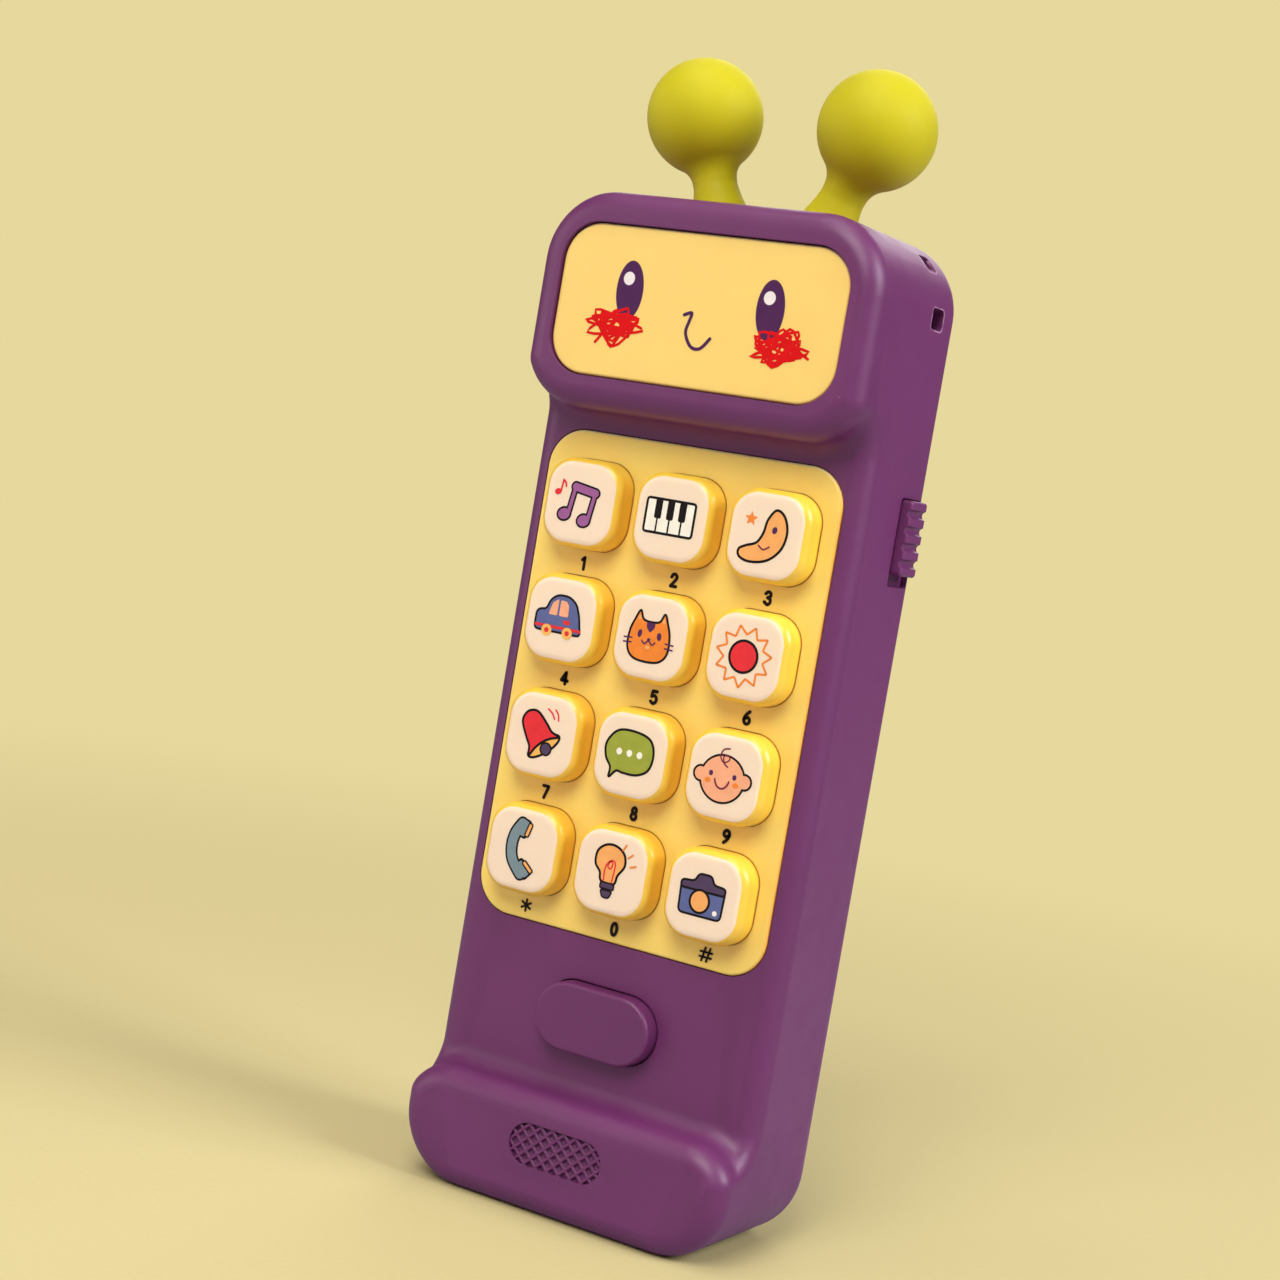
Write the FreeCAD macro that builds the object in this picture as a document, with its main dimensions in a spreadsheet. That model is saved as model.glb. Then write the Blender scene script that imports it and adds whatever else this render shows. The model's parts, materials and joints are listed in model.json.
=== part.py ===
import FreeCAD, Part
import Sketcher
import math
import os

# Toy cell phone standing upright.  Z is the long axis, -Y the front, +X the
# right-hand side seen from the front.  The origin is the middle of the flat
# bottom end, at half of the body's depth.  Everything is in millimetres.

V = FreeCAD.Vector
doc = FreeCAD.newDocument("ToyPhone")

# ---------------------------------------------------------------- driving sizes
SIZES = {
    # casing
    "body_width": 57.0, "body_depth": 24.0, "body_height": 154.0,
    "corner_radius": 11.0, "rear_edge_radius": 5.0, "front_edge_radius": 3.4,
    "crease_radius": 2.8, "side_wall": 2.0, "front_wall": 2.4, "rear_wall": 2.0,
    "raised_wall": 2.8,
    "seam_depth": 3.0, "seam_gap": 0.05, "rim_gap": 0.1, "rim_wall": 1.2, "rim_reach": 2.6,
    "head_bottom": 121.2, "head_proud": 7.8, "head_corner": 10.0, "bezel_wall": 3.0,
    "lip_top": 18.0, "lip_proud": 7.0, "lip_corner": 8.0, "corner_overrun": 0.8,
    "badge_length": 16.2, "badge_height": 6.5, "badge_z": 10.5, "badge_sink": 0.8,
    # face panel and keypad plate
    "face_width": 48.2, "face_height": 22.8, "face_z": 137.5, "face_corner": 6.0,
    "face_thick": 1.5, "face_sink": 0.5, "face_ledge": 3.0, "fit_gap": 0.15,
    "plate_width": 50.7, "plate_height": 75.9, "plate_z": 80.15, "plate_corner": 6.0,
    "plate_thick": 1.65, "plate_proud": 0.3, "plate_edge": 0.45, "ledge_thick": 1.0,
    "opening_width": 48.2, "opening_height": 71.0,
    # keys
    "key_pitch_x": 16.0, "key_pitch_z": 17.85, "key_width": 13.4, "key_height": 13.7,
    "key_corner": 4.4, "key_proud": 4.2, "key_edge": 1.5, "key_gap": 0.1,
    "flange_over": 0.7, "flange_thick": 0.8, "plunger_diameter": 5.0,
    "call_length": 20.0, "call_height": 10.5, "call_z": 29.9, "call_proud": 3.0,
    "call_edge": 0.6, "call_gap": 0.2,
    # rubber domes and circuit board
    "dome_diameter": 8.0, "dome_rise": 1.4, "sheet_thick": 1.0,
    "sheet_width": 46.5, "sheet_height": 70.0,
    "board_front": 6.0, "board_thick": 1.6, "board_width": 50.0, "board_bottom": 22.0,
    "board_top": 120.0, "tab_width": 34.0, "tab_top": 142.0, "board_corner": 1.5,
    "chip_diameter": 13.0, "chip_rise": 1.3, "chip_z": 104.0,
    "can_diameter": 5.0, "can_height": 5.5, "can_z": 121.0,
    "lamp_x": 11.5, "lamp_z": 137.0, "lamp_diameter": 3.0, "lamp_front": 13.4,
    # antennae
    "antenna_x": 8.9, "antenna_y": -0.5, "antenna_tilt": 20.2, "ball_radius": 9.05,
    "ball_reach": 17.1, "neck_diameter": 7.2, "skirt_diameter": 7.8, "hole_diameter": 9.0,
    "foot_diameter": 10.6, "foot_thick": 1.6, "foot_drop": 4.9, "skirt_lift": 2.0,
    # side switch
    "switch_z": 109.9, "switch_y": 4.6, "switch_travel": 1.6, "switch_wall": 1.0,
    "knob_length": 11.4, "knob_width": 5.6, "knob_proud": 1.5, "knob_foot": 1.2,
    "foot_side": 1.1, "foot_end": 2.7, "slot_side": 0.9, "slot_end": 0.2,
    "slot_corner": 0.6, "knob_edge": 0.4, "ridge_pitch": 2.5, "groove_width": 1.3,
    # cord slots in the upper right corner
    "cord_y": 2.4, "cord_corner": 0.7, "cord_side_z": 142.6, "cord_side_length": 4.2,
    "cord_side_height": 3.2, "cord_angle": 45.0, "cord_top_length": 3.6,
    "cord_top_height": 2.8,
    # batteries and their bay
    "cell_diameter": 10.5, "cell_length": 43.7, "cell_y": 3.0, "cell_pitch": 10.9,
    "bay_bottom": 37.0, "bay_length": 52.0, "bay_width": 33.6, "bay_floor": -3.6,
    "bay_wall": 1.3, "door_width": 38.0, "door_bottom": 32.0, "door_height": 62.0,
    "door_corner": 3.0, "door_gap": 0.2, "door_thick": 1.3, "door_screw_z": 92.4,
    "door_edge": 0.3, "door_boss": 6.4, "rib_gap": 0.3, "rib_wall": 1.2, "rib_height": 1.4,
    "rib_corner": 2.0, "grip_z": 40.0, "grip_length": 16.0, "grip_height": 3.0,
    "grip_depth": 0.6, "spring_side": 1.6, "contact_width": 8.8, "contact_height": 8.4,
    "contact_thick": 0.4,
    # loudspeaker
    "speaker_z": 131.0, "speaker_diameter": 28.0, "speaker_depth": 6.5,
    "magnet_diameter": 14.0, "magnet_thick": 3.0, "basket_rim": 1.3, "well_gap": 0.2,
    "well_wall": 1.5, "well_depth": 2.4, "clamp_x": 17.2, "clamp_boss": 4.4,
    "clamp_head": 8.0, "grille_hole": 1.6, "grille_pitch": 3.2,
    # fasteners
    "boss_x": 21.5, "boss_low": 10.0, "boss_high": 144.0, "boss_diameter": 6.2,
    "post_diameter": 7.4, "screw_shank": 2.6, "screw_bore": 2.7, "screw_head": 4.6,
    "head_thick": 1.6, "counterbore": 5.2, "post_front": 3.0, "post_floor": 1.8,
    "board_boss_x": 20.5, "board_boss_low": 38.0, "board_boss_high": 119.2,
    "board_boss_diameter": 4.8, "small_shank": 2.0, "small_head": 3.8,
    "small_bore": 2.1, "case_bore_floor": 3.0, "board_bore_floor": 0.6,
}

sheet = doc.addObject("Spreadsheet::Sheet", "Sizes")
for row, (alias, number) in enumerate(SIZES.items(), start=1):
    sheet.set("A%d" % row, alias)
    sheet.set("B%d" % row, str(number))
    sheet.setAlias("B%d" % row, alias)
doc.recompute()


class Size:
    """A length that carries its number and the sheet formula it comes from."""

    def __init__(self, number, formula=None):
        self.number = float(number)
        self.formula = formula or repr(float(number))

    def _join(self, other, sign, result):
        return Size(result, "(%s %s %s)" % (self.formula, sign, size(other).formula))

    def __add__(self, other):
        return self._join(other, "+", self.number + size(other).number)

    def __sub__(self, other):
        return self._join(other, "-", self.number - size(other).number)

    def __mul__(self, other):
        return self._join(other, "*", self.number * size(other).number)

    def __truediv__(self, other):
        return self._join(other, "/", self.number / size(other).number)

    def __radd__(self, other):
        return size(other) + self

    def __rsub__(self, other):
        return size(other) - self

    def __rmul__(self, other):
        return size(other) * self

    def __neg__(self):
        return size(0) - self


def size(value):
    return value if isinstance(value, Size) else Size(value)


class Sheet:
    """Reads sheet cells by alias."""

    def __getattr__(self, alias):
        return Size(sheet.get(alias), "Sizes." + alias)


S = Sheet()

# Depths are measured forward from the middle of the body (forward = -Y).
FRONT = S.body_depth / 2
REAR = -FRONT
SEAM = REAR + S.seam_depth
INSIDE_FRONT = FRONT - S.front_wall
HEAD_FRONT = FRONT + S.head_proud
LIP_FRONT = FRONT + S.lip_proud
PLATE_FRONT = FRONT + S.plate_proud
PLATE_BACK = PLATE_FRONT - S.plate_thick
LEDGE_FRONT = INSIDE_FRONT + S.ledge_thick
BOARD_FRONT = S.board_front
BOARD_BACK = BOARD_FRONT - S.board_thick
DOME_TOP = BOARD_FRONT + S.sheet_thick + S.dome_rise
MID_Z = S.body_height / 2
ANTENNA_PIVOT_Z = S.body_height - S.side_wall / 2
BACK_Y = -REAR                       # Y of the rear face
INSIDE_Y = BACK_Y - S.rear_wall      # Y of the rear cover's inner face

KEYS = (("key_1", -1, 1.5), ("key_2", 0, 1.5), ("key_3", 1, 1.5),
        ("key_4", -1, 0.5), ("key_5", 0, 0.5), ("key_6", 1, 0.5),
        ("key_7", -1, -0.5), ("key_8", 0, -0.5), ("key_9", 1, -0.5),
        ("key_star", -1, -1.5), ("key_0", 0, -1.5), ("key_hash", 1, -1.5))
SIDES = (-1, 1)       # left and right of the middle
TOUCH = 0.05          # gap left between pieces that bear on each other
THROUGH = 1.0         # extra length of a cutter beyond the material
BITE = 0.5            # how far a boss or wall runs into what it grows from


def bind(item, field, value):
    item.setExpression(field, size(value).formula)


# ---------------------------------------------------------------- sketch helpers
def new_body(label):
    body = doc.addObject("PartDesign::Body", label)
    body.Label = label
    return body


def front_sketch(body, name, x, z, forward):
    """Empty sketch that faces the front, centred on (x, z) at a forward depth."""
    plane = [f for f in body.Origin.OriginFeatures if f.Role == "XZ_Plane"][0]
    sketch = body.newObject("Sketcher::SketchObject", name)
    sketch.AttachmentSupport = [(plane, "")]
    sketch.MapMode = "FlatFace"
    bind(sketch, "AttachmentOffset.Base.x", x)
    bind(sketch, "AttachmentOffset.Base.y", z)
    bind(sketch, "AttachmentOffset.Base.z", forward)
    return sketch


def measure(sketch, name, value, *constraint):
    """Adds a driving dimension and binds it to its formula."""
    kind = constraint[0]
    index = sketch.addConstraint(Sketcher.Constraint(kind, *constraint[1:], size(value).number))
    sketch.renameConstraint(index, name)
    bind(sketch, "Constraints." + name, value)


def line(x0, y0, x1, y1):
    return Part.LineSegment(V(x0, y0, 0), V(x1, y1, 0))


def arc(x, y, radius, start, end):
    circle = Part.Circle(V(x, y, 0), V(0, 0, 1), radius)
    return Part.ArcOfCircle(circle, math.radians(start), math.radians(end))


def join_tangent(sketch, count):
    for index in range(count):
        sketch.addConstraint(Sketcher.Constraint("Tangent", index, 2, (index + 1) % count, 1))


def rounded_rectangle(sketch, width, height, radius):
    w, h, r = size(width).number / 2, size(height).number / 2, size(radius).number
    sketch.addGeometry([
        line(-w + r, -h, w - r, -h), arc(w - r, -h + r, r, 270, 360),
        line(w, -h + r, w, h - r), arc(w - r, h - r, r, 0, 90),
        line(w - r, h, -w + r, h), arc(-w + r, h - r, r, 90, 180),
        line(-w, h - r, -w, -h + r), arc(-w + r, -h + r, r, 180, 270)])
    join_tangent(sketch, 8)
    for index in (0, 4):
        sketch.addConstraint(Sketcher.Constraint("Horizontal", index))
    for index in (2, 6):
        sketch.addConstraint(Sketcher.Constraint("Vertical", index))
    for index in (3, 5, 7):
        sketch.addConstraint(Sketcher.Constraint("Equal", 1, index))
    measure(sketch, "corner", radius, "Radius", 1)
    measure(sketch, "right", width / 2, "DistanceX", -1, 1, 2, 1)
    measure(sketch, "left", width / 2, "DistanceX", 6, 1, -1, 1)
    measure(sketch, "up", height / 2, "DistanceY", -1, 1, 4, 1)
    measure(sketch, "down", height / 2, "DistanceY", 0, 1, -1, 1)


def stadium(sketch, length, height):
    c, r = (size(length).number - size(height).number) / 2, size(height).number / 2
    sketch.addGeometry([line(-c, -r, c, -r), arc(c, 0, r, 270, 450),
                        line(c, r, -c, r), arc(-c, 0, r, 90, 270)])
    join_tangent(sketch, 4)
    sketch.addConstraint(Sketcher.Constraint("Horizontal", 0))
    sketch.addConstraint(Sketcher.Constraint("Equal", 1, 3))
    sketch.addConstraint(Sketcher.Constraint("PointOnObject", 1, 3, -1))
    measure(sketch, "radius", height / 2, "Radius", 1)
    measure(sketch, "right", (length - height) / 2, "DistanceX", -1, 1, 1, 3)
    measure(sketch, "left", (length - height) / 2, "DistanceX", 3, 3, -1, 1)


def round_hole(sketch, diameter):
    sketch.addGeometry(Part.Circle(V(0, 0, 0), V(0, 0, 1), size(diameter).number / 2))
    sketch.addConstraint(Sketcher.Constraint("Coincident", 0, 3, -1, 1))
    measure(sketch, "diameter", diameter, "Diameter", 0)


def raised_end(sketch, width, tall, end_radius, near_radius, overrun):
    """Outline of the head or lip block.

    Local y runs from the end of the phone (y = 0) inwards to y = -tall.  The
    corners at the phone's end follow the casing outline; the inner corners are
    arcs whose centres lie slightly outwards, so they run off the side at a
    shallow angle instead of ending tangent to it.
    """
    w, h = size(width).number / 2, size(tall).number
    r, q, o = size(end_radius).number, size(near_radius).number, size(overrun).number
    centre = w + o - q
    rise = math.sqrt(q * q - (w - centre) ** 2)
    lean = math.degrees(math.atan2(rise, w - centre))
    sketch.addGeometry([
        line(-centre, -h, centre, -h), arc(centre, -h + q, q, 270, 360 - lean),
        line(w, -h + q - rise, w, -r), arc(w - r, -r, r, 0, 90),
        line(w - r, 0, -w + r, 0), arc(-w + r, -r, r, 90, 180),
        line(-w, -r, -w, -h + q - rise), arc(-centre, -h + q, q, 180 + lean, 270)])
    for index in (7, 0, 2, 3, 4, 5):
        sketch.addConstraint(Sketcher.Constraint("Tangent", index, 2, (index + 1) % 8, 1))
    for index in (1, 6):
        sketch.addConstraint(Sketcher.Constraint("Coincident", index, 2, (index + 1) % 8, 1))
    for index in (0, 4):
        sketch.addConstraint(Sketcher.Constraint("Horizontal", index))
    for index in (2, 6):
        sketch.addConstraint(Sketcher.Constraint("Vertical", index))
    sketch.addConstraint(Sketcher.Constraint("Equal", 1, 7))
    sketch.addConstraint(Sketcher.Constraint("Equal", 3, 5))
    sketch.addConstraint(Sketcher.Constraint("PointOnObject", 4, 1, -1))
    measure(sketch, "near", near_radius, "Radius", 1)
    measure(sketch, "outer", end_radius, "Radius", 3)
    measure(sketch, "right", width / 2, "DistanceX", -1, 1, 2, 1)
    measure(sketch, "left", width / 2, "DistanceX", 6, 1, -1, 1)
    measure(sketch, "tall", tall, "DistanceY", 0, 2, -1, 1)
    measure(sketch, "centre_right", width / 2 + overrun - near_radius, "DistanceX", -1, 1, 1, 3)
    measure(sketch, "centre_left", width / 2 + overrun - near_radius, "DistanceX", 7, 3, -1, 1)


# ---------------------------------------------------------------- feature helpers
def pad(body, name, sketch, length, backwards=False):
    """Adds material; forward of the sketch unless backwards is set."""
    feature = body.newObject("PartDesign::Pad", name)
    feature.Profile = sketch
    bind(feature, "Length", length)
    feature.Reversed = backwards
    return feature


def pocket(body, name, sketch, length, forward=False):
    """Removes material; backwards of the sketch unless forward is set."""
    feature = body.newObject("PartDesign::Pocket", name)
    feature.Profile = sketch
    bind(feature, "Length", length)
    feature.Reversed = forward
    doc.recompute()
    if feature.Shape.Volume >= feature.BaseFeature.Shape.Volume - 1e-6:
        raise RuntimeError("%s cuts nothing" % name)
    return feature


def edge_names(shape, wanted):
    return ["Edge%d" % (i + 1) for i, edge in enumerate(shape.Edges) if wanted(edge.BoundBox)]


def lies_at(box, forward):
    y = -size(forward).number
    return abs(box.YMin - y) < 0.01 and abs(box.YMax - y) < 0.01


def round_edges(body, name, base, radius, wanted):
    doc.recompute()
    feature = body.newObject("PartDesign::Fillet", name)
    feature.Base = (base, edge_names(base.Shape, wanted))
    bind(feature, "Radius", radius)
    doc.recompute()
    return feature


def place(item, x, y, z):
    bind(item, "Placement.Base.x", x)
    bind(item, "Placement.Base.y", y)
    bind(item, "Placement.Base.z", z)


def block(name, x, y, z, dx, dy, dz):
    """Box from its lowest corner."""
    item = doc.addObject("Part::Box", name)
    bind(item, "Length", dx)
    bind(item, "Width", dy)
    bind(item, "Height", dz)
    place(item, x, y, z)
    return item


UP = FreeCAD.Rotation()
REARWARD = FreeCAD.Rotation(V(1, 0, 0), -90)


def rod(name, x, y, z, diameter, length, turn=REARWARD):
    """Cylinder from its first end, along +Y unless turned otherwise."""
    item = doc.addObject("Part::Cylinder", name)
    item.Placement.Rotation = turn
    bind(item, "Radius", size(diameter) / 2)
    bind(item, "Height", length)
    place(item, x, y, z)
    return item


def fuse(name, items):
    item = doc.addObject("Part::MultiFuse", name)
    item.Shapes = items
    item.Refine = True
    return item


def cut(name, base, tools):
    item = doc.addObject("Part::Cut", name)
    item.Base = base
    item.Tool = tools[0] if len(tools) == 1 else fuse(name + "_tools", tools)
    return item


def group(name, items):
    """Several separate solids kept as one node."""
    item = doc.addObject("Part::Compound", name)
    item.Links = items
    return item


NODES = []


def keep(label, item):
    """Marks an object as a finished piece under its own label."""
    item.Label = label
    NODES.append(item)
    return item


# ---------------------------------------------------------------- casing
def casing_block(body):
    """Full-depth rounded slab with rounded rear edges."""
    outline = front_sketch(body, body.Name + "_outline", 0, MID_Z, REAR)
    rounded_rectangle(outline, S.body_width, S.body_height, S.corner_radius)
    slab = pad(body, body.Name + "_slab", outline, S.body_depth)
    return round_edges(body, body.Name + "_rear_round", slab, S.rear_edge_radius,
                       lambda box: lies_at(box, REAR))


def add_raised_ends(body):
    """Head and lip blocks that stand forward of the body."""
    start = FRONT - THROUGH
    head = front_sketch(body, "head_outline", 0, S.body_height, start)
    raised_end(head, S.body_width, S.body_height - S.head_bottom, S.corner_radius,
               S.head_corner, S.corner_overrun)
    pad(body, "head_block", head, S.head_proud + THROUGH)
    lip = front_sketch(body, "lip_outline", 0, 0, start)
    lip.AttachmentOffset.Rotation = FreeCAD.Rotation(V(0, 0, 1), 180)
    raised_end(lip, S.body_width, S.lip_top, S.corner_radius, S.lip_corner, S.corner_overrun)
    last = pad(body, "lip_block", lip, S.lip_proud + THROUGH)
    tall = S.body_height.number / 2
    creases = round_edges(
        body, "creases", last, S.crease_radius,
        lambda box: lies_at(box, FRONT) and box.XLength > 0.5
        and box.ZMax < tall + tall * 0.8 and box.ZMin > 8)
    return round_edges(
        body, "front_round", creases, S.front_edge_radius,
        lambda box: lies_at(box, HEAD_FRONT) or lies_at(box, LIP_FRONT)
        or (lies_at(box, FRONT) and box.ZLength > tall))


def hollow_front(body):
    """Opens the tub from the seam and thins the head and lip from inside."""
    seam = front_sketch(body, "seam_cut", 0, MID_Z, SEAM)
    rounded_rectangle(seam, S.body_width * 2, S.body_height * 2, S.corner_radius)
    pocket(body, "seam_pocket", seam, S.seam_depth * 2)
    inner = front_sketch(body, "inner_outline", 0, MID_Z, SEAM)
    rounded_rectangle(inner, S.body_width - S.side_wall * 2, S.body_height - S.side_wall * 2,
                      S.corner_radius - S.side_wall)
    pocket(body, "inner_pocket", inner, INSIDE_FRONT - SEAM, True)
    wall = S.raised_wall
    tall = S.body_height - S.head_bottom - wall * 2
    head = front_sketch(body, "head_hollow", 0, S.body_height - wall - tall / 2, INSIDE_FRONT)
    rounded_rectangle(head, S.body_width - wall * 2, tall, S.corner_radius - wall - 1)
    pocket(body, "head_pocket", head, HEAD_FRONT - S.bezel_wall - INSIDE_FRONT, True)
    low = S.lip_top - wall * 2
    lip = front_sketch(body, "lip_hollow", 0, wall + low / 2, INSIDE_FRONT)
    rounded_rectangle(lip, S.body_width - wall * 2, low, S.lip_corner - wall)
    pocket(body, "lip_pocket", lip, LIP_FRONT - wall - INSIDE_FRONT, True)


def open_front(body):
    """Seats for the face panel and keypad plate, button hole and badge recess."""
    gap = S.fit_gap * 2
    seat = front_sketch(body, "face_seat", 0, S.face_z, HEAD_FRONT)
    rounded_rectangle(seat, S.face_width + gap, S.face_height + gap, S.face_corner + S.fit_gap)
    pocket(body, "face_pocket", seat, S.face_sink + S.face_thick)
    window = front_sketch(body, "face_window", 0, S.face_z, HEAD_FRONT)
    rounded_rectangle(window, S.face_width - S.face_ledge * 2,
                      S.face_height - S.face_ledge * 2, S.face_corner - S.face_ledge)
    pocket(body, "face_opening", window, S.bezel_wall + THROUGH)
    seat = front_sketch(body, "plate_seat", 0, S.plate_z, FRONT)
    rounded_rectangle(seat, S.plate_width + gap, S.plate_height + gap,
                      S.plate_corner + S.fit_gap)
    pocket(body, "plate_pocket", seat, FRONT - LEDGE_FRONT)
    window = front_sketch(body, "keypad_window", 0, S.plate_z, FRONT)
    rounded_rectangle(window, S.opening_width, S.opening_height, S.key_corner)
    pocket(body, "keypad_opening", window, S.front_wall + THROUGH)
    hole = front_sketch(body, "call_hole", 0, S.call_z, FRONT)
    stadium(hole, S.call_length + S.call_gap * 2, S.call_height + S.call_gap * 2)
    pocket(body, "call_opening", hole, S.front_wall + THROUGH)
    badge = front_sketch(body, "badge_recess", 0, S.badge_z, LIP_FRONT)
    stadium(badge, S.badge_length, S.badge_height)
    pocket(body, "badge_pocket", badge, S.badge_sink)


def case_screw_places():
    return [(S.boss_x * side, z) for z in (S.boss_low, S.boss_high) for side in SIDES]


def board_screw_places():
    return [(S.board_boss_x * side, z) for z in (S.board_boss_low, S.board_boss_high)
            for side in SIDES]


def antenna_turn(side):
    return FreeCAD.Rotation(V(0, 1, 0), side * SIZES["antenna_tilt"])


def front_shell():
    body = new_body("front_tub")
    casing_block(body)
    add_raised_ends(body)
    hollow_front(body)
    open_front(body)
    bosses, bores = [], []
    for index, (x, z) in enumerate(case_screw_places()):
        in_lip = z.number < MID_Z.number
        hollow = LIP_FRONT - S.raised_wall if in_lip else HEAD_FRONT - S.bezel_wall
        reach = hollow + BITE + S.post_front
        end = S.post_front - TOUCH
        bosses.append(rod("case_boss_%d" % index, x, end - reach, z, S.boss_diameter, reach))
        bores.append(rod("case_bore_%d" % index, x, end - reach + S.case_bore_floor, z,
                         S.screw_bore, reach))
    for index, (x, z) in enumerate(board_screw_places()):
        reach = INSIDE_FRONT + BITE - BOARD_FRONT
        end = -BOARD_FRONT - TOUCH
        bosses.append(rod("board_boss_%d" % index, x, end - reach, z,
                          S.board_boss_diameter, reach))
        bores.append(rod("board_bore_%d" % index, x, end - reach + S.board_bore_floor, z,
                         S.small_bore, reach))
    for side in SIDES:
        start = S.side_wall * 2
        lean = math.radians(SIZES["antenna_tilt"])
        bores.append(rod("antenna_hole_%d" % (side + 1),
                         S.antenna_x * side - start * (side * math.sin(lean)), S.antenna_y,
                         ANTENNA_PIVOT_Z - start * math.cos(lean), S.hole_diameter, start * 2,
                         antenna_turn(side)))
    bores += switch_openings() + cord_openings()
    return keep("front_shell", cut("front_shell", fuse("front_solid", [body] + bosses), bores))


def side_block(name, width, height, corner, length):
    """Rounded-rectangle block along local +X; width runs in depth, height along Z."""
    body = new_body(name)
    plane = [f for f in body.Origin.OriginFeatures if f.Role == "YZ_Plane"][0]
    sketch = body.newObject("Sketcher::SketchObject", name + "_outline")
    sketch.AttachmentSupport = [(plane, "")]
    sketch.MapMode = "FlatFace"
    rounded_rectangle(sketch, width, height, corner)
    pad(body, name + "_block", sketch, length)
    return body


def switch_openings():
    """Slot for the knob, and the thinned wall its foot slides behind."""
    outside = S.body_width / 2
    half = S.knob_length / 2
    tall = S.knob_length + S.switch_travel + S.slot_end * 2
    slot = side_block("switch_slot", S.knob_width + S.slot_side * 2, tall, S.slot_corner,
                      S.side_wall + THROUGH * 2)
    place(slot, outside - S.side_wall - THROUGH, S.switch_y, S.switch_z - S.switch_travel / 2)
    reach = S.foot_end + S.slot_end
    side = S.foot_side + TOUCH * 2
    relief = block("switch_relief", outside - S.side_wall - THROUGH,
                   S.switch_y - S.knob_width / 2 - side,
                   S.switch_z - half - reach - S.switch_travel,
                   S.side_wall + THROUGH - S.switch_wall, S.knob_width + side * 2,
                   S.knob_length + reach * 2 + S.switch_travel)
    return [slot, relief]


def cord_openings():
    """Two slots for a carrying cord: one in the side, one round the corner."""
    outside = S.body_width / 2
    depth = S.side_wall + THROUGH * 2
    low = side_block("cord_slot_side", S.cord_side_length, S.cord_side_height, S.cord_corner,
                     depth)
    place(low, outside - S.side_wall - THROUGH, S.cord_y, S.cord_side_z)
    high = side_block("cord_slot_corner", S.cord_top_length, S.cord_top_height, S.cord_corner,
                      depth)
    angle = math.radians(SIZES["cord_angle"])
    start = S.corner_radius - S.side_wall - THROUGH
    high.Placement.Rotation = FreeCAD.Rotation(V(0, 1, 0), -SIZES["cord_angle"])
    place(high, outside - S.corner_radius + start * math.cos(angle), S.cord_y,
          S.body_height - S.corner_radius + start * math.sin(angle))
    return [low, high]


def rear_cover_shell():
    """Shallow rear dish with a locating rim that tucks into the tub."""
    body = new_body("rear_dish")
    casing_block(body)
    seam = front_sketch(body, "cover_cut", 0, MID_Z, SEAM - S.seam_gap)
    rounded_rectangle(seam, S.body_width * 2, S.body_height * 2, S.corner_radius)
    pocket(body, "cover_pocket", seam, S.body_depth * 2, True)
    inset = S.side_wall + S.rim_gap
    rim_start = SEAM - S.seam_gap - THROUGH / 2
    rim = front_sketch(body, "rim_outline", 0, MID_Z, rim_start)
    rounded_rectangle(rim, S.body_width - inset * 2, S.body_height - inset * 2,
                      S.corner_radius - inset)
    pad(body, "rim_block", rim, S.rim_reach + THROUGH / 2)
    hollow = inset + S.rim_wall
    inner = front_sketch(body, "rim_hollow", 0, MID_Z, REAR + S.rear_wall)
    rounded_rectangle(inner, S.body_width - hollow * 2, S.body_height - hollow * 2,
                      S.corner_radius - hollow)
    pocket(body, "rim_pocket", inner, S.seam_depth + S.rim_reach, True)
    return body


def grille_bores():
    """Rings of round sound holes around one in the middle."""
    bores = []
    for ring in range(4):
        count = max(1, ring * 6)
        for index in range(count):
            angle = 2 * math.pi * index / count
            x = S.grille_pitch * (ring * math.cos(angle))
            z = S.speaker_z + S.grille_pitch * (ring * math.sin(angle))
            bores.append(rod("grille_%d_%d" % (ring, index), x, INSIDE_Y - THROUGH, z,
                             S.grille_hole, S.rear_wall + THROUGH * 2))
    return bores


def speaker_seat():
    """Round wall that locates the loudspeaker, and a clamp boss on each side of it."""
    start = INSIDE_Y - S.well_depth
    tall = S.well_depth + BITE
    well = S.speaker_diameter + S.well_gap * 2
    ring = rod("speaker_ring", 0, start, S.speaker_z, well + S.well_wall * 2, tall)
    hollow = rod("speaker_well", 0, start - THROUGH, S.speaker_z, well, S.well_depth + THROUGH)
    solids = [cut("speaker_wall", ring, [hollow])]
    bores = []
    for side in SIDES:
        x = S.clamp_x * side
        solids.append(rod("clamp_boss_%d" % (side + 1), x, start, S.speaker_z, S.clamp_boss,
                          tall))
        bores.append(rod("clamp_bore_%d" % (side + 1), x, start - THROUGH, S.speaker_z,
                         S.small_bore, tall + THROUGH))
    return solids, bores


def battery_bay():
    """Open box for the cells, and the boss of the door's screw above it."""
    wall = S.bay_wall
    outside = block("bay_outside", -(S.bay_width / 2) - wall, S.bay_floor, S.bay_bottom - wall,
                    S.bay_width + wall * 2, INSIDE_Y - S.bay_floor + BITE,
                    S.bay_length + wall * 2)
    inside = block("bay_inside", -(S.bay_width / 2), S.bay_floor + wall, S.bay_bottom,
                   S.bay_width, S.body_depth, S.bay_length)
    start = S.post_front + THROUGH
    boss = rod("door_boss", 0, start, S.door_screw_z, S.door_boss, INSIDE_Y - start + BITE)
    bore = rod("door_bore", 0, start + THROUGH, S.door_screw_z, S.small_bore, S.body_depth)
    return [outside, boss], [inside, bore]


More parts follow.
